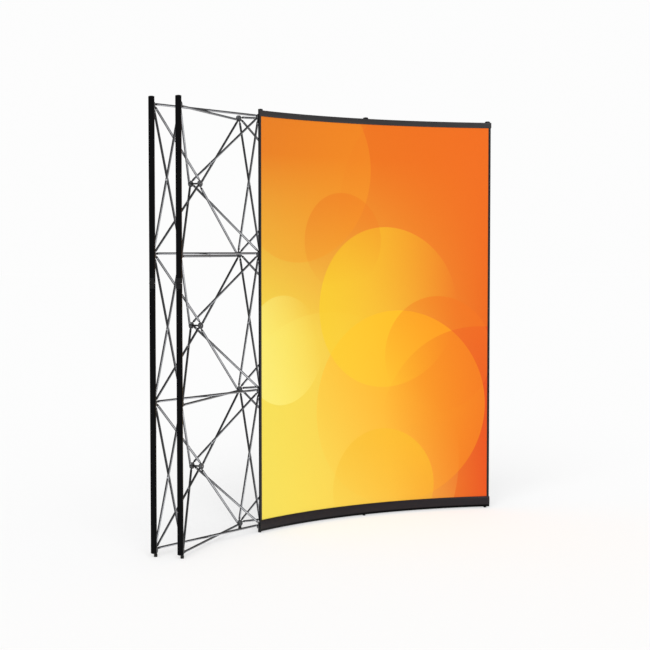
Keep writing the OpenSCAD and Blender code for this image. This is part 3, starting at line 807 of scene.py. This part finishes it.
# ---- Bars ----
# Six upright bars of black anodised aluminium box section, each in three lengths: three behind
# the graphic, and three on the frame's ends, which fold up. Each has a shallow channel and two
# grooves down its outer face, and holes in its inner wall for the pegs.
BAR_W = 0.030
BAR_HALF = BAR_W / 2
BAR_T = 0.009
BAR_WALL = 0.0012
BAR_EDGE = 0.0012
BORE_EDGE = 0.0004
BORE_PAST_END = 0.02
CHANNEL_HALF = 0.0068
CHANNEL_DEPTH = 0.0004
LINE_PLACE = 0.0112
LINE_DEPTH = 0.0005
BAR_GAP = 0.0005
BAR_BOTTOM = FOOT_HEIGHT - 0.012
BAR_TOP = row_height(ROWS) + 0.041
JOINT_DROP = 0.140
BAR_CUTS = [BAR_BOTTOM, row_height(1) - JOINT_DROP, row_height(2) - JOINT_DROP, BAR_TOP]
BAR_JOINT = 0.001
END_BAR_NEAR = HUB_D / 2 + BAR_GAP
FRONT_BAR_NEAR = HUB_T / 2 + BAR_GAP
Bar = namedtuple("Bar", "base outwards near")


def rounded(corners, steps=3):
    """A closed outline from (x, y, cut) corners, each rounded over its cut."""
    outline = []
    for k, (x, y, cut) in enumerate(corners):
        here = Vector((x, y))
        if not cut:
            outline.append(here)
            continue
        start = here + cut * (Vector(corners[k - 1][:2]) - here).normalized()
        stop = here + cut * (Vector(corners[(k + 1) % len(corners)][:2]) - here).normalized()
        for n in range(steps + 1):
            s = n / steps
            outline.append((1 - s) ** 2 * start + 2 * s * (1 - s) * here + s**2 * stop)
    return outline


def extruded_finish(name, colour, roughness, stretch, source=None, shade=None):
    """Extruded and anodised: fine lines run along it, and rubbing dulls it in patches."""
    material, tree, shader = new_finish(name)
    place = source(tree) if source else add_node(tree, "ShaderNodeTexCoord", output="Object")
    lined = add_node(tree, "ShaderNodeMapping", {"Vector": place, "Scale": stretch})
    die_lines = noise(tree, 1.0, 3.0, lined)
    anodised = shades(tree, die_lines, colour, 0.8, 1.25)
    give(tree, shader, {
        "Base Color": shade(tree, anodised) if shade else anodised,
        "Roughness": spread(tree, noise(tree, 14.0, 5.0), roughness - 0.06, roughness + 0.12),
        "Metallic": 0.85,
        "Specular IOR Level": 0.2,
        "Normal": bump(tree, die_lines, 0.12),
    })
    return material


bar_black = extruded_finish("bar_black", (0.0045, 0.0045, 0.005, 1), 0.36, Vector((700, 700, 5)))

# Half of the bar's section, from the channel in its outer face round to its inner face
bar_side = [
    (BAR_T - CHANNEL_DEPTH, CHANNEL_HALF - CHANNEL_DEPTH, 0), (BAR_T, CHANNEL_HALF, 0),
    (BAR_T, LINE_PLACE - LINE_DEPTH, 0), (BAR_T - LINE_DEPTH, LINE_PLACE, 0),
    (BAR_T, LINE_PLACE + LINE_DEPTH, 0), (BAR_T, BAR_HALF, BAR_EDGE), (0, BAR_HALF, BAR_EDGE),
]
bar_outline = rounded([(x, -y, cut) for x, y, cut in reversed(bar_side)] + bar_side)
bar_blank = raised("bar_blank", bar_outline, [(0, 0), (1, 0)])
bore_half = BAR_HALF - BAR_WALL
bore_outline = rounded(
    [
        (BAR_WALL, -bore_half, BORE_EDGE), (BAR_T - BAR_WALL, -bore_half, BORE_EDGE),
        (BAR_T - BAR_WALL, bore_half, BORE_EDGE), (BAR_WALL, bore_half, BORE_EDGE),
    ],
    2,
)
bar_bore = raised("bar_bore", bore_outline, [(-BORE_PAST_END, 0), (1 + BORE_PAST_END, 0)])
peg_hole = turned("peg_hole", mm((0, -1), (4.3, -1), (4.3, 2.5), (0, 2.5)), 24)

# The blank and the bore are 1 m long, and each length of bar stretches them to its own
bar_tree, given, end = new_tree(
    "bar_lengths", Blank="Object", Bore="Object", Hole="Object", Finish="Material"
)
solids = [put_given(bar_tree, given, label) for label in ("Blank", "Bore")]
bored = cut_away(bar_tree, *solids, put_given(bar_tree, given, "Hole", 1))
give(bar_tree, end, {"Geometry": finished(bar_tree, bored, given["Finish"])})


def on_bar(bar, height, depth=0):
    """A point on the middle of a bar's inner face, or this far out from it."""
    return bar.base + (bar.near + depth) * bar.outwards + height * UP


def bar_length(name, bar, parts, body, node):
    places = []
    for k in parts:
        low = BAR_CUTS[k] + (BAR_JOINT / 2 if k else 0)
        high = BAR_CUTS[k + 1] - (BAR_JOINT / 2 if k < 2 else 0)
        places.append(Place(on_bar(bar, low), bar.outwards, UP, 0, high - low))
        for row in range(ROWS + 1):
            if low < row_height(row) < high:
                places.append(Place(on_bar(bar, row_height(row)), UP, bar.outwards, 1))
    made = grow(
        name, placed_points(name + "_places", places), bar_tree,
        Blank=bar_blank, Bore=bar_bore, Hole=peg_hole, Finish=bar_black,
    )
    fit_piece(made, body, "bar_black", node)


end_bars = {
    "left_front": Bar(on_floor(front_hub(0, 0)), -right_dir(line_angle(0)), END_BAR_NEAR),
    "left_rear": Bar(on_floor(rear_hub(0, 0)), -right_dir(line_angle(0)), END_BAR_NEAR),
    "right_rear": Bar(on_floor(rear_hub(0, BAYS)), right_dir(line_angle(BAYS)), END_BAR_NEAR),
}
front_bars = {
    f"front_bar_{line}": Bar(on_floor(front_hub(0, line)), -back_dir(line_angle(line)), FRONT_BAR_NEAR)
    for line in range(1, BAYS + 1)
}
for name, bar in front_bars.items():
    bar_length(name + "_lengths", bar, (0, 1, 2), "frame", name)
for name, bar in end_bars.items():
    bar_length(f"{name}_bar_upper_length", bar, (2,), "frame", f"{name}_bar_upper")
    for k, part in ((1, "middle"), (0, "lower")):
        body = f"{name}_bar_{part}_section"
        bar_length(f"{name}_bar_{part}_length", bar, (k,), body, f"{name}_bar_{part}")
put_away(bar_blank, bar_bore, peg_hole)


# ---- Bar splices and plugs ----
# Moulded plastic blocks join the lengths of the front bars, and plugs with rounded tops close the
# bars' ends, held by a block inside the bar.
PLUG_EDGE = 0.0006
PLUG_HIGH = 0.003
PLUG_ARC_R = math.hypot(BAR_W, BAR_HALF)
# Turns a shape drawn in X and Y and raised along Z into one drawn in Y and Z, raised along X
RAISED_ALONG_X = Matrix(((0, 0, 1, 0), (1, 0, 0, 0), (0, 1, 0, 0), (0, 0, 0, 1)))
finish_nodes(black_plug, "front_bar_splices")
plug_arc = [BAR_HALF * (1 - k / 6) for k in range(1, 12)]
plug_outline = [
    (-BAR_HALF, 0), (BAR_HALF, 0),
    *[(y, min(PLUG_HIGH, math.sqrt(PLUG_ARC_R**2 - y * y) - BAR_W)) for y in plug_arc],
]
plug_levels = [(0, PLUG_EDGE), (PLUG_EDGE, 0), (BAR_T - PLUG_EDGE, 0), (BAR_T, PLUG_EDGE)]
block_outline = mm((1.3, -13.7), (7.7, -13.7), (7.7, 13.7), (1.3, 13.7))
plug_work = bmesh.new()
add_raised(plug_work, plug_outline, plug_levels, RAISED_ALONG_X)
add_raised(plug_work, block_outline, mm((-6, 0.8), (-5, 0), (0.4, 0)))
plug_shape = new_shape("plug_shape", plug_work)


def plug_bars(name, bars, height, away, body, *nodes):
    """Plugs in the ends of bars, at the given height, that point up or down."""
    places = [Place(on_bar(bar, height), bar.outwards, away * UP) for bar in bars]
    stamp(name, [plug_shape], places, black_plug, body, "black_plug", *nodes)


plug_bars("front_bar_bottom_plugs", front_bars.values(), BAR_BOTTOM, -1, "frame", "front_bar_end_plugs")
plug_bars("end_bar_top_plugs", end_bars.values(), BAR_TOP, 1, "frame", "bar_top_plugs")
for name, bar in end_bars.items():
    plug_bars(f"{name}_bar_bottom_plug", [bar], BAR_BOTTOM, -1, f"{name}_bar_lower_section")
put_away(plug_shape)


# ---- Bar hinges ----
# Pressed steel hinges with three barrels join the lengths of the end bars, each leaf held by four
# domed rivets. The upper hinge is on the outer face and the lower one on the inner face.
LEAF_T = 0.0015
LEAF_HALF = 0.013
LEAF_END = 0.0265
LEAF_START = 0.0005
LEAF_EDGE = 0.0003
BARREL_R = 0.0035
BARREL_ROOM = 0.0036
BARREL_HALF = 0.0041
BARREL_STEP = 0.00867
EAR_INNER = 0.0045
LEAF_RIVETS = mm((0, -8.2, 9.5), (0, -8.2, 20), (0, 8.2, 9.5), (0, 8.2, 20))
ALONG_Y = Matrix.Rotation(math.pi / 2, 4, "X")
barrel_profile = [
    (0, -BARREL_HALF), (BARREL_R - LEAF_EDGE, -BARREL_HALF), (BARREL_R, LEAF_EDGE - BARREL_HALF),
    (BARREL_R, BARREL_HALF - LEAF_EDGE), (BARREL_R - LEAF_EDGE, BARREL_HALF), (0, BARREL_HALF),
]
leaf_rivet = mm((0, 1), (2.4, 1), (2.4, 1.7), (1.9, 2.2), (1, 2.4), (0, 2.5))


def hinge_leaf(name, barrels):
    """A leaf on a bar's face, from the joint upwards, with its barrels at the given places."""
    ears = len(barrels) > 1
    outer, inner = (LEAF_START, BARREL_ROOM) if ears else (BARREL_ROOM, LEAF_START)
    step = EAR_INNER if ears else BARREL_HALF
    outline = rounded(
        [
            (-LEAF_HALF, outer, 0), (-step, outer, 0), (-step, inner, 0), (step, inner, 0),
            (step, outer, 0), (LEAF_HALF, outer, 0), (LEAF_HALF, LEAF_END, 0.003),
            (-LEAF_HALF, LEAF_END, 0.003),
        ],
        4,
    )
    work = bmesh.new()
    add_raised(work, outline, [(0, 0), (LEAF_T - LEAF_EDGE, 0), (LEAF_T, LEAF_EDGE)], RAISED_ALONG_X)
    for y in barrels:
        add_turned(work, barrel_profile, 24, Matrix.Translation((BARREL_R, y, 0)) @ ALONG_Y)
    for place in LEAF_RIVETS:
        add_turned(work, leaf_rivet, 16, Matrix.Translation(place) @ RAISED_ALONG_X)
    return new_shape(name, work)


ear_leaf = hinge_leaf("ear_leaf", (-BARREL_STEP, BARREL_STEP))
middle_leaf = hinge_leaf("middle_leaf", (0,))
hinge_pin = mm((0, -13), (1.2, -12.9), (1.5, -12.6), (1.5, 12.6), (1.2, 12.9), (0, 13))
pin_work = bmesh.new()
add_turned(pin_work, hinge_pin, 20, Matrix.Translation((BARREL_R, 0, 0)) @ ALONG_Y)
pin_shape = new_shape("pin_shape", pin_work)
hinge_shapes = [ear_leaf, middle_leaf, pin_shape]
EARS, MIDDLE, PIN = range(3)


def hinge_place(bar, cut, outer, away, kind):
    """On a bar's outer or inner face, at one of its joints, up or down from it."""
    facing = bar.outwards if outer else -bar.outwards
    return Place(on_bar(bar, BAR_CUTS[cut], BAR_T if outer else 0), facing, away * UP, kind)


upper_leaves = [hinge_place(bar, 2, True, 1, EARS) for bar in end_bars.values()]
stamp(
    "upper_hinge_leaves", hinge_shapes, upper_leaves, black_steel,
    "frame", "black_steel", "bar_upper_hinge_leaves",
)
upper_pins = [hinge_place(bar, 2, True, 1, PIN) for bar in end_bars.values()]
stamp(
    "upper_hinge_pins", hinge_shapes, upper_pins, zinc_steel,
    "frame", "zinc_steel", "bar_upper_hinge_pins",
)
for name, bar in end_bars.items():
    middle = [hinge_place(bar, 2, True, -1, MIDDLE)]
    middle += [hinge_place(bar, 1, False, 1, kind) for kind in (EARS, PIN)]
    stamp(
        f"{name}_bar_middle_leaves", hinge_shapes, middle, black_steel,
        f"{name}_bar_middle_section", "black_steel", f"{name}_bar_middle_fittings",
    )
    stamp(
        f"{name}_bar_lower_leaf", hinge_shapes, [hinge_place(bar, 1, False, -1, MIDDLE)], black_steel,
        f"{name}_bar_lower_section", "black_steel", f"{name}_bar_lower_fittings",
    )
put_away(*hinge_shapes)


# ---- Graphic print ----
# One laminated panel over the two right bays, printed all over in warm colours with overlapping
# soft discs. It is made flat here, and bent to the wall as the rails and trims are.
SIDE_REACH = 0.018
TRIM_W = 0.006
GRAPHIC_START = FRONT_RADIUS * line_angle(1) - SIDE_REACH
GRAPHIC_STOP = FRONT_RADIUS * line_angle(BAYS) + SIDE_REACH
PRINT_BACK = 0.0182
PRINT_FRONT = 0.0194
PRINT_LOW = 0.060
PRINT_HIGH = 2.252
WALL_STEP = 0.008
# A face that looks this far to the front, or further, is the panel's printed side
FRONT_NORMAL = -0.7

bend_tree, given, end = new_tree(
    "bent_to_wall", Radius="Float", Centre="Float", Front_Finish="Material", Finish="Material"
)
flat_place = add_node(bend_tree, "GeometryNodeInputPosition")
flat_kept = keep_value(bend_tree, given["Geometry"], "flat", flat_place, "FLOAT_VECTOR", "POINT")
normal_y = xyz_of(bend_tree, add_node(bend_tree, "GeometryNodeInputNormal"))["Y"]
in_front = {0: normal_y, 1: FRONT_NORMAL}
in_front = add_node(bend_tree, "FunctionNodeCompare", in_front, operation="LESS_THAN")
front_kept = keep_value(bend_tree, flat_kept, "in_front", in_front, "BOOLEAN", "FACE")
x, y, z = xyz_of(bend_tree, flat_place)
angle = math_node(bend_tree, "DIVIDE", x, given["Radius"])
reach = math_node(bend_tree, "ADD", given["Radius"], y)
to_right = math_node(bend_tree, "MULTIPLY", reach, math_node(bend_tree, "SINE", angle))
to_back = math_node(bend_tree, "MULTIPLY", reach, math_node(bend_tree, "COSINE", angle))
bent_place = vector_of(
    bend_tree, to_right, math_node(bend_tree, "SUBTRACT", to_back, given["Centre"]), z
)
bent = add_node(bend_tree, "GeometryNodeSetPosition", {"Geometry": front_kept, "Position": bent_place})
faced = add_node(bend_tree, "GeometryNodeSetMaterial", {
    "Geometry": finished(bend_tree, bent, given["Finish"]),
    "Selection": named_value(bend_tree, "in_front", "BOOLEAN"),
    "Material": given["Front_Finish"],
})
give(bend_tree, end, {"Geometry": faced})


def bend(name, flat, finish, front_finish=None):
    return grow(
        name, flat, bend_tree,
        Radius=FRONT_RADIUS, Centre=CURVE_CENTRE, Finish=finish, Front_Finish=front_finish or finish,
    )


def wall_steps(start, stop):
    """Levels along the wall, close enough together to bend smoothly."""
    count = math.ceil((stop - start) / WALL_STEP)
    return [(start + (stop - start) * k / count, 0) for k in range(count + 1)]


def flat_position(tree):
    return attribute(tree, "flat", "Vector")


def ink(red, green, blue):
    """A colour from its usual values of 0 to 255."""
    parts = [part / 255 for part in (red, green, blue)]
    return (*[p / 12.92 if p < 0.04045 else ((p + 0.055) / 1.055) ** 2.4 for p in parts], 1)


def blend_inks(tree, factor, under, over):
    return add_node(tree, "ShaderNodeMix", {"Factor": factor, 6: under, 7: over}, 2, data_type="RGBA")


def vector_math(tree, operation, output, *values):
    return add_node(tree, "ShaderNodeVectorMath", dict(enumerate(values)), output, operation=operation)


# The ground goes from left to right in each of two bands, and from the low one to the high one
# between these heights
LOW_BAND = 1.05
HIGH_BAND = 2.05
DISC_EDGE = 0.0012
# A disc's ink starts this share of its radius behind its middle, and grows from there
DISC_FADE = -0.9
# Each disc: its middle, radius, ink, strength, and the direction in which it grows stronger
DISCS = [
    (0.98, 1.72, 0.78, ink(224, 98, 16), 0.75, (0.75, 0.65)),
    (-0.10, 1.98, 0.52, ink(236, 152, 28), 0.45, (0.60, -0.80)),
    (0.12, 0.30, 0.88, ink(242, 222, 92), 0.90, (-0.75, -0.65)),
    (0.60, 0.62, 0.56, ink(248, 176, 14), 0.90, (0.45, 0.60)),
    (1.12, 0.44, 0.64, ink(212, 52, 20), 1.00, (0.97, 0.15)),
    (0.52, 1.20, 0.46, ink(239, 199, 34), 0.80, (-0.90, 0.10)),
    (0.86, 0.92, 0.34, ink(224, 108, 17), 0.60, (0.55, 0.83)),
    (0.22, 1.58, 0.27, ink(226, 112, 18), 0.50, (-0.20, 0.98)),
    (0.50, 0.16, 0.34, ink(234, 180, 34), 0.65, (0.30, 0.95)),
    (-0.22, 0.98, 0.30, ink(250, 240, 128), 0.80, (-0.95, -0.30)),
]
print_art, tree, shader = new_finish("print_art")
flat = flat_position(tree)
along, _, height = xyz_of(tree, flat)
from_left = spread(tree, along, 0.0, 1.0, GRAPHIC_START, GRAPHIC_STOP)
low_ink = blend_inks(tree, from_left, ink(243, 223, 76), ink(216, 93, 15))
high_ink = blend_inks(tree, from_left, ink(229, 124, 20), ink(221, 104, 16))
art = blend_inks(tree, spread(tree, height, 0.0, 1.0, LOW_BAND, HIGH_BAND), low_ink, high_ink)
for x, z, radius, colour, strength, (dx, dz) in DISCS:
    away = vector_math(tree, "SUBTRACT", "Vector", flat, Vector((x, -PRINT_FRONT, z)))
    distance = vector_math(tree, "LENGTH", "Value", away)
    lean = vector_math(tree, "DOT_PRODUCT", "Value", away, Vector((dx, 0, dz)))
    inside = spread(tree, distance, 1.0, 0.0, radius - DISC_EDGE, radius + DISC_EDGE)
    stronger = spread(tree, lean, 0.0, strength, DISC_FADE * radius, radius)
    art = blend_inks(tree, math_node(tree, "MULTIPLY", inside, stronger), art, colour)
# A fine dark grain, as of the print's screen
grain = spread(tree, noise(tree, 2600.0, 1.0, flat), 0.0, 0.05)
give(tree, shader, {
    "Base Color": blend_inks(tree, grain, art, ink(120, 50, 10)),
    "Roughness": spread(tree, noise(tree, 9.0, 4.0, flat), 0.40, 0.50),
    "Specular IOR Level": 0.18,
    "Normal": bump(tree, noise(tree, 500.0, 2.0, flat), 0.08, 0.0002),
})

# The panel's back and cut edges: white film, with the weave of its backing
print_back, tree, shader = new_finish("print_back")
fibres = noise(tree, 900.0, 3.0)
give(tree, shader, {
    "Base Color": tint(tree, fibres, (0.52, 0.52, 0.51, 1), (0.66, 0.66, 0.65, 1)),
    "Roughness": spread(tree, noise(tree, 20.0, 3.0), 0.5, 0.66),
    "Normal": bump(tree, fibres, 0.2, 0.0002),
})

print_outline = [
    (-PRINT_FRONT, PRINT_LOW), (-PRINT_BACK, PRINT_LOW),
    (-PRINT_BACK, PRINT_HIGH), (-PRINT_FRONT, PRINT_HIGH),
]
print_levels = wall_steps(GRAPHIC_START + TRIM_W, GRAPHIC_STOP - TRIM_W)
flat_print = raised("flat_print", print_outline, print_levels, RAISED_ALONG_X)
made = bend("printed_panel", flat_print, print_back, print_art)
fit_piece(made, "graphic", "print_film", "graphic_print")


# ---- Graphic rails ----
# Two clamped rails of charcoal anodised aluminium, bowed on the face. The panel's edge sits in a
# groove, and the top rail has three notches in its back for the hooks.
RAIL_GREY = (0.053, 0.051, 0.052, 1)
RAIL_SHADE = (0.022, 0.017, 0.021, 1)
# Black painted along the bottom rail's lower lip as the shadow under it
LIP_PAINTED_SHADOW = (0.002, 0.002, 0.002, 1)
SHADE_STRENGTH = 0.75
SHADE_FROM = 0.07
SHADE_TO = 0.5
# Heights over which the painted shadow on the lower lip fades out
LIP_SHADOW_FROM = 0.019
LIP_SHADOW_TO = 0.024


def rail_tone_and_lip_shadow(tree, anodised):
    """The bottom rail's face is a shade darker than the top one's, and its lower lip is painted black
    as the shadow under it.
    """
    height = xyz_of(tree, flat_position(tree))["Z"]
    low = spread(tree, height, SHADE_STRENGTH, 0.0, SHADE_FROM, SHADE_TO)
    # Painted shadow: a black band along the bottom rail's lower lip, where shade falls under the rail
    lip = spread(tree, height, 1.0, 0.0, LIP_SHADOW_FROM, LIP_SHADOW_TO)
    return blend_inks(tree, lip, blend_inks(tree, low, anodised, RAIL_SHADE), LIP_PAINTED_SHADOW)


# The rails' finish: a darker tone on the bottom rail, and a painted shadow line along its lower lip
rail_charcoal = extruded_finish(
    "rail_charcoal", RAIL_GREY, 0.40, Vector((5, 700, 700)), flat_position, rail_tone_and_lip_shadow
)


def depth_outline(*corners):
    """An outline of (depth before the front hubs, height, cut) corners, in millimetres."""
    return rounded([(-depth, height, cut) for depth, height, cut in mm(*corners)], 2)


TOP_FACE = [
    (16.8, 2242, 0.3), (16.8, 2274, 0.7), (20.2, 2274, 0.5), (21.8, 2272.6, 1.0), (22.7, 2268, 2.0),
    (23.0, 2258, 4.0), (22.7, 2248, 2.0), (21.8, 2243.4, 1.0), (20.8, 2242, 0.3),
]
TOP_GROOVE = [(19.5, 2242, 0), (19.5, 2252.1, 0), (18.1, 2252.1, 0), (18.1, 2242, 0)]
LOW_BACK = [(16.8, 8, 0.6), (16.8, 70, 0.4)]
LOW_GROOVE = [(18.1, 70, 0), (18.1, 59.9, 0), (19.5, 59.9, 0), (19.5, 70, 0)]
LOW_FACE = [
    (21.2, 70, 0.5), (23.8, 68.4, 1.2), (26.5, 62, 3.0), (27.8, 50, 5.0), (27.8, 36, 5.0),
    (26.8, 24, 4.0), (23.6, 13, 3.0), (20.6, 8.3, 1.5), (19.4, 8, 0.3),
]
rail_levels = wall_steps(GRAPHIC_START, GRAPHIC_STOP)
top_outline = depth_outline(*TOP_FACE, *TOP_GROOVE)
low_outline = depth_outline(*LOW_BACK, *LOW_GROOVE, *LOW_FACE)
flat_top = raised("flat_top", top_outline, rail_levels, RAISED_ALONG_X)
flat_low = raised("flat_low", low_outline, rail_levels, RAISED_ALONG_X)

notch_tree, given, end = new_tree("hook_notches", Notch="Object", Places="Object")
notches = put_on_points(
    notch_tree, object_shape(notch_tree, given["Places"]), object_shape(notch_tree, given["Notch"])
)
give(notch_tree, end, {"Geometry": cut_away(notch_tree, given["Geometry"], notches)})
notch_outline = mm((-9.2, -19), (9.2, -19), (9.2, -16), (-9.2, -16))
notch = raised("notch", notch_outline, mm((2254, 0), (2276, 0)))
notch_places = placed_points("notch_places", [
    Place((FRONT_RADIUS * line_angle(line), 0, 0), (1, 0, 0), (0, 0, 1)) for line in range(1, BAYS + 1)
])
flat_notched = grow("flat_notched", flat_top, notch_tree, Notch=notch, Places=notch_places)
put_away(notch, notch_places)
for name, flat_rail in (("top_rail", flat_notched), ("bottom_rail", flat_low)):
    fit_piece(bend(name, flat_rail, rail_charcoal), "graphic", "rail_charcoal", "graphic_" + name)


# ---- Rail caps ----
# Moulded plastic caps close both ends of each rail. They follow the rails' outlines, and their
# outer edges are softly rounded.
CAP_LEVELS = mm((0, 0), (1.6, 0.1), (2.4, 0.6), (3, 1.6))
cap_work = bmesh.new()
for outline in (depth_outline(*TOP_FACE, (19.4, 2242, 0.1)), depth_outline(*LOW_BACK, *LOW_FACE)):
    for end_x, away in ((GRAPHIC_START, -1), (GRAPHIC_STOP, 1)):
        levels = [(end_x + away * x, amount) for x, amount in CAP_LEVELS]
        add_raised(cap_work, outline, levels, RAISED_ALONG_X)
made = bend("rail_end_caps", new_shape("flat_caps", cap_work), black_plug)
fit_piece(made, "graphic", "black_plug", "graphic_rail_caps")


# ---- Side trims ----
# A black plastic edging is pushed on each upright edge of the panel, from rail to rail, with a
# broad lip that lies over the print's front.
TRIM_LIP = 0.014
TRIM_LOW = 0.070
TRIM_HIGH = 2.242
LIP_FRONT = -0.0202
LIP_BACK = -0.0195
TRIM_BACK = -0.0174
TRIM_EDGE = 0.0009
trim_work = bmesh.new()
for start, inwards in ((GRAPHIC_START, 1), (GRAPHIC_STOP, -1)):
    lip = start + inwards * TRIM_LIP
    web = start + inwards * TRIM_W
    trim_outline = rounded([
        (start, LIP_FRONT, TRIM_EDGE), (lip, LIP_FRONT, 0.0005), (lip, LIP_BACK, 0),
        (web, LIP_BACK, 0), (web, TRIM_BACK, TRIM_EDGE), (start, TRIM_BACK, TRIM_EDGE),
    ])
    add_raised(trim_work, trim_outline, [(TRIM_LOW, 0), (TRIM_HIGH, 0)])
made = bend("edge_trims", new_shape("flat_trims", trim_work), black_plug)
fit_piece(made, "graphic", "black_plug", "graphic_side_trims")


# ---- Magnet strips ----
# Three flexible magnet strips, stuck down the panel's back where the front bars are. They are the
# CAD's own, in a dull brown-black.
magnet_strip, tree, shader = new_finish("magnet_strip")
filler = noise(tree, 240.0, 4.0)
give(tree, shader, {
    "Base Color": tint(tree, filler, (0.028, 0.024, 0.021, 1), (0.050, 0.043, 0.038, 1)),
    "Roughness": spread(tree, noise(tree, 60.0, 3.0), 0.6, 0.78),
})
finish_nodes(magnet_strip, "graphic_magnet_strips")


# ---- Hooks ----
# Three black coated steel strips, bent over twice. Each stands in a notch of the top rail and
# drops over the front wall of an open bar.
HOOK_HALF = 0.009
HOOK_EDGE = 0.0003
hook_outline = rounded(
    mm(
        (16.9, 2254.2, 0.4), (18.9, 2254.2, 0.4), (18.9, 2282.3, 2.6), (13.1, 2282.3, 2.6),
        (13.1, 2264.3, 0.4), (15.1, 2264.3, 0.4), (15.1, 2280.3, 0.6), (16.9, 2280.3, 0.6),
    ),
    4,
)
hook_levels = [
    (-HOOK_HALF, HOOK_EDGE), (HOOK_EDGE - HOOK_HALF, 0),
    (HOOK_HALF - HOOK_EDGE, 0), (HOOK_HALF, HOOK_EDGE),
]
hook_shape = raised("hook_shape", hook_outline, hook_levels, ALONG_Y)
hook_places = [Place(bar.base, bar.outwards, UP) for bar in front_bars.values()]
stamp("bent_hooks", [hook_shape], hook_places, black_steel, "graphic", "black_steel", "graphic_hooks")
put_away(hook_shape)


# ---- The room ----
# A plain white floor that runs out into a white surround, with even light from all round, a broad
# high light from the front left, and a low one that falls on the struts alone. The camera stands
# at eye height, at the front left.
WHITE = (1, 1, 1, 1)
ROOM_WHITE = 0.98
ROUND_LIGHT = 0.62
FLOOR_LIGHT = 1.08
FLOOR_WHITE = 0.45
FLOOR_REACH = 90
LIGHT_SPREAD = math.radians(50)
HIGH_LIGHT = Vector((-0.50, -0.52, 0.70)).normalized()
# What the high light adds is what the floor's light lacks
HIGH_ENERGY = math.pi * (FLOOR_LIGHT - ROUND_LIGHT) / HIGH_LIGHT.z
TUBE_LIGHT = Vector((0.407, -0.550, -0.720)).normalized()
TUBE_ENERGY = 33
PHOTO_WIDTH = 650
FOCAL_PIXELS = 1487.3
SENSOR_MM = 36
CAMERA_PLACE = (-5.441, -6.153, 1.524)
CAMERA_YAW = 0.7270
CAMERA_PITCH = 0.0498

floor_work = bmesh.new()
bmesh.ops.create_circle(floor_work, cap_ends=True, segments=64, radius=FLOOR_REACH)
floor = new_shape("floor", floor_work)
pale_floor, tree, shader = new_finish("pale_floor")
# The floor glows a little, as a light table does, which keeps its shadows faint
give(tree, shader, {
    "Base Color": (FLOOR_WHITE, FLOOR_WHITE, FLOOR_WHITE, 1),
    "Roughness": 1.0,
    "Specular IOR Level": 0.0,
    "Emission Color": WHITE,
    "Emission Strength": ROOM_WHITE - FLOOR_WHITE * FLOOR_LIGHT,
})
floor.data.materials.append(pale_floor)

# The surround is seen as white, and lights the wall less than that
world = bpy.data.worlds.new("studio")
bpy.context.scene.world = world
world.use_nodes = True
tree = world.node_tree
lit = tree.nodes["Background"]
give(tree, lit, {"Color": WHITE, "Strength": ROUND_LIGHT})
seen = add_node(tree, "ShaderNodeBackground", {"Color": WHITE, "Strength": ROOM_WHITE})
camera_ray = add_node(tree, "ShaderNodeLightPath", output="Is Camera Ray")
surround = add_node(tree, "ShaderNodeMixShader", {0: camera_ray, 1: lit.outputs[0], 2: seen})
give(tree, tree.nodes["World Output"], {"Surface": surround})


def sun(name, towards, energy):
    data = bpy.data.lights.new(name, "SUN")
    data.angle = LIGHT_SPREAD
    data.energy = energy
    light = new_object(name, data)
    light.rotation_euler = towards.to_track_quat("Z", "Y").to_euler()
    return light


sun("high_light", HIGH_LIGHT, HIGH_ENERGY)
# The low light from the front right falls on the round tubes only, and only they shade it. It
# makes the struts that lean to the left look pale and the others dark.
tube_light = sun("tube_light", TUBE_LIGHT, TUBE_ENERGY)
tube_light.light_linking.receiver_collection = lit_tubes
tube_light.light_linking.blocker_collection = lit_tubes

camera_data = bpy.data.cameras.new("camera")
camera_data.lens = SENSOR_MM * FOCAL_PIXELS / PHOTO_WIDTH
camera_data.clip_end = 200
camera = new_object("camera", camera_data)
camera.location = CAMERA_PLACE
level = math.cos(CAMERA_PITCH)
look = Vector((math.sin(CAMERA_YAW) * level, math.cos(CAMERA_YAW) * level, -math.sin(CAMERA_PITCH)))
camera.rotation_euler = look.to_track_quat("-Z", "Y").to_euler()
bpy.context.scene.camera = camera
bpy.context.scene.view_settings.view_transform = "Standard"
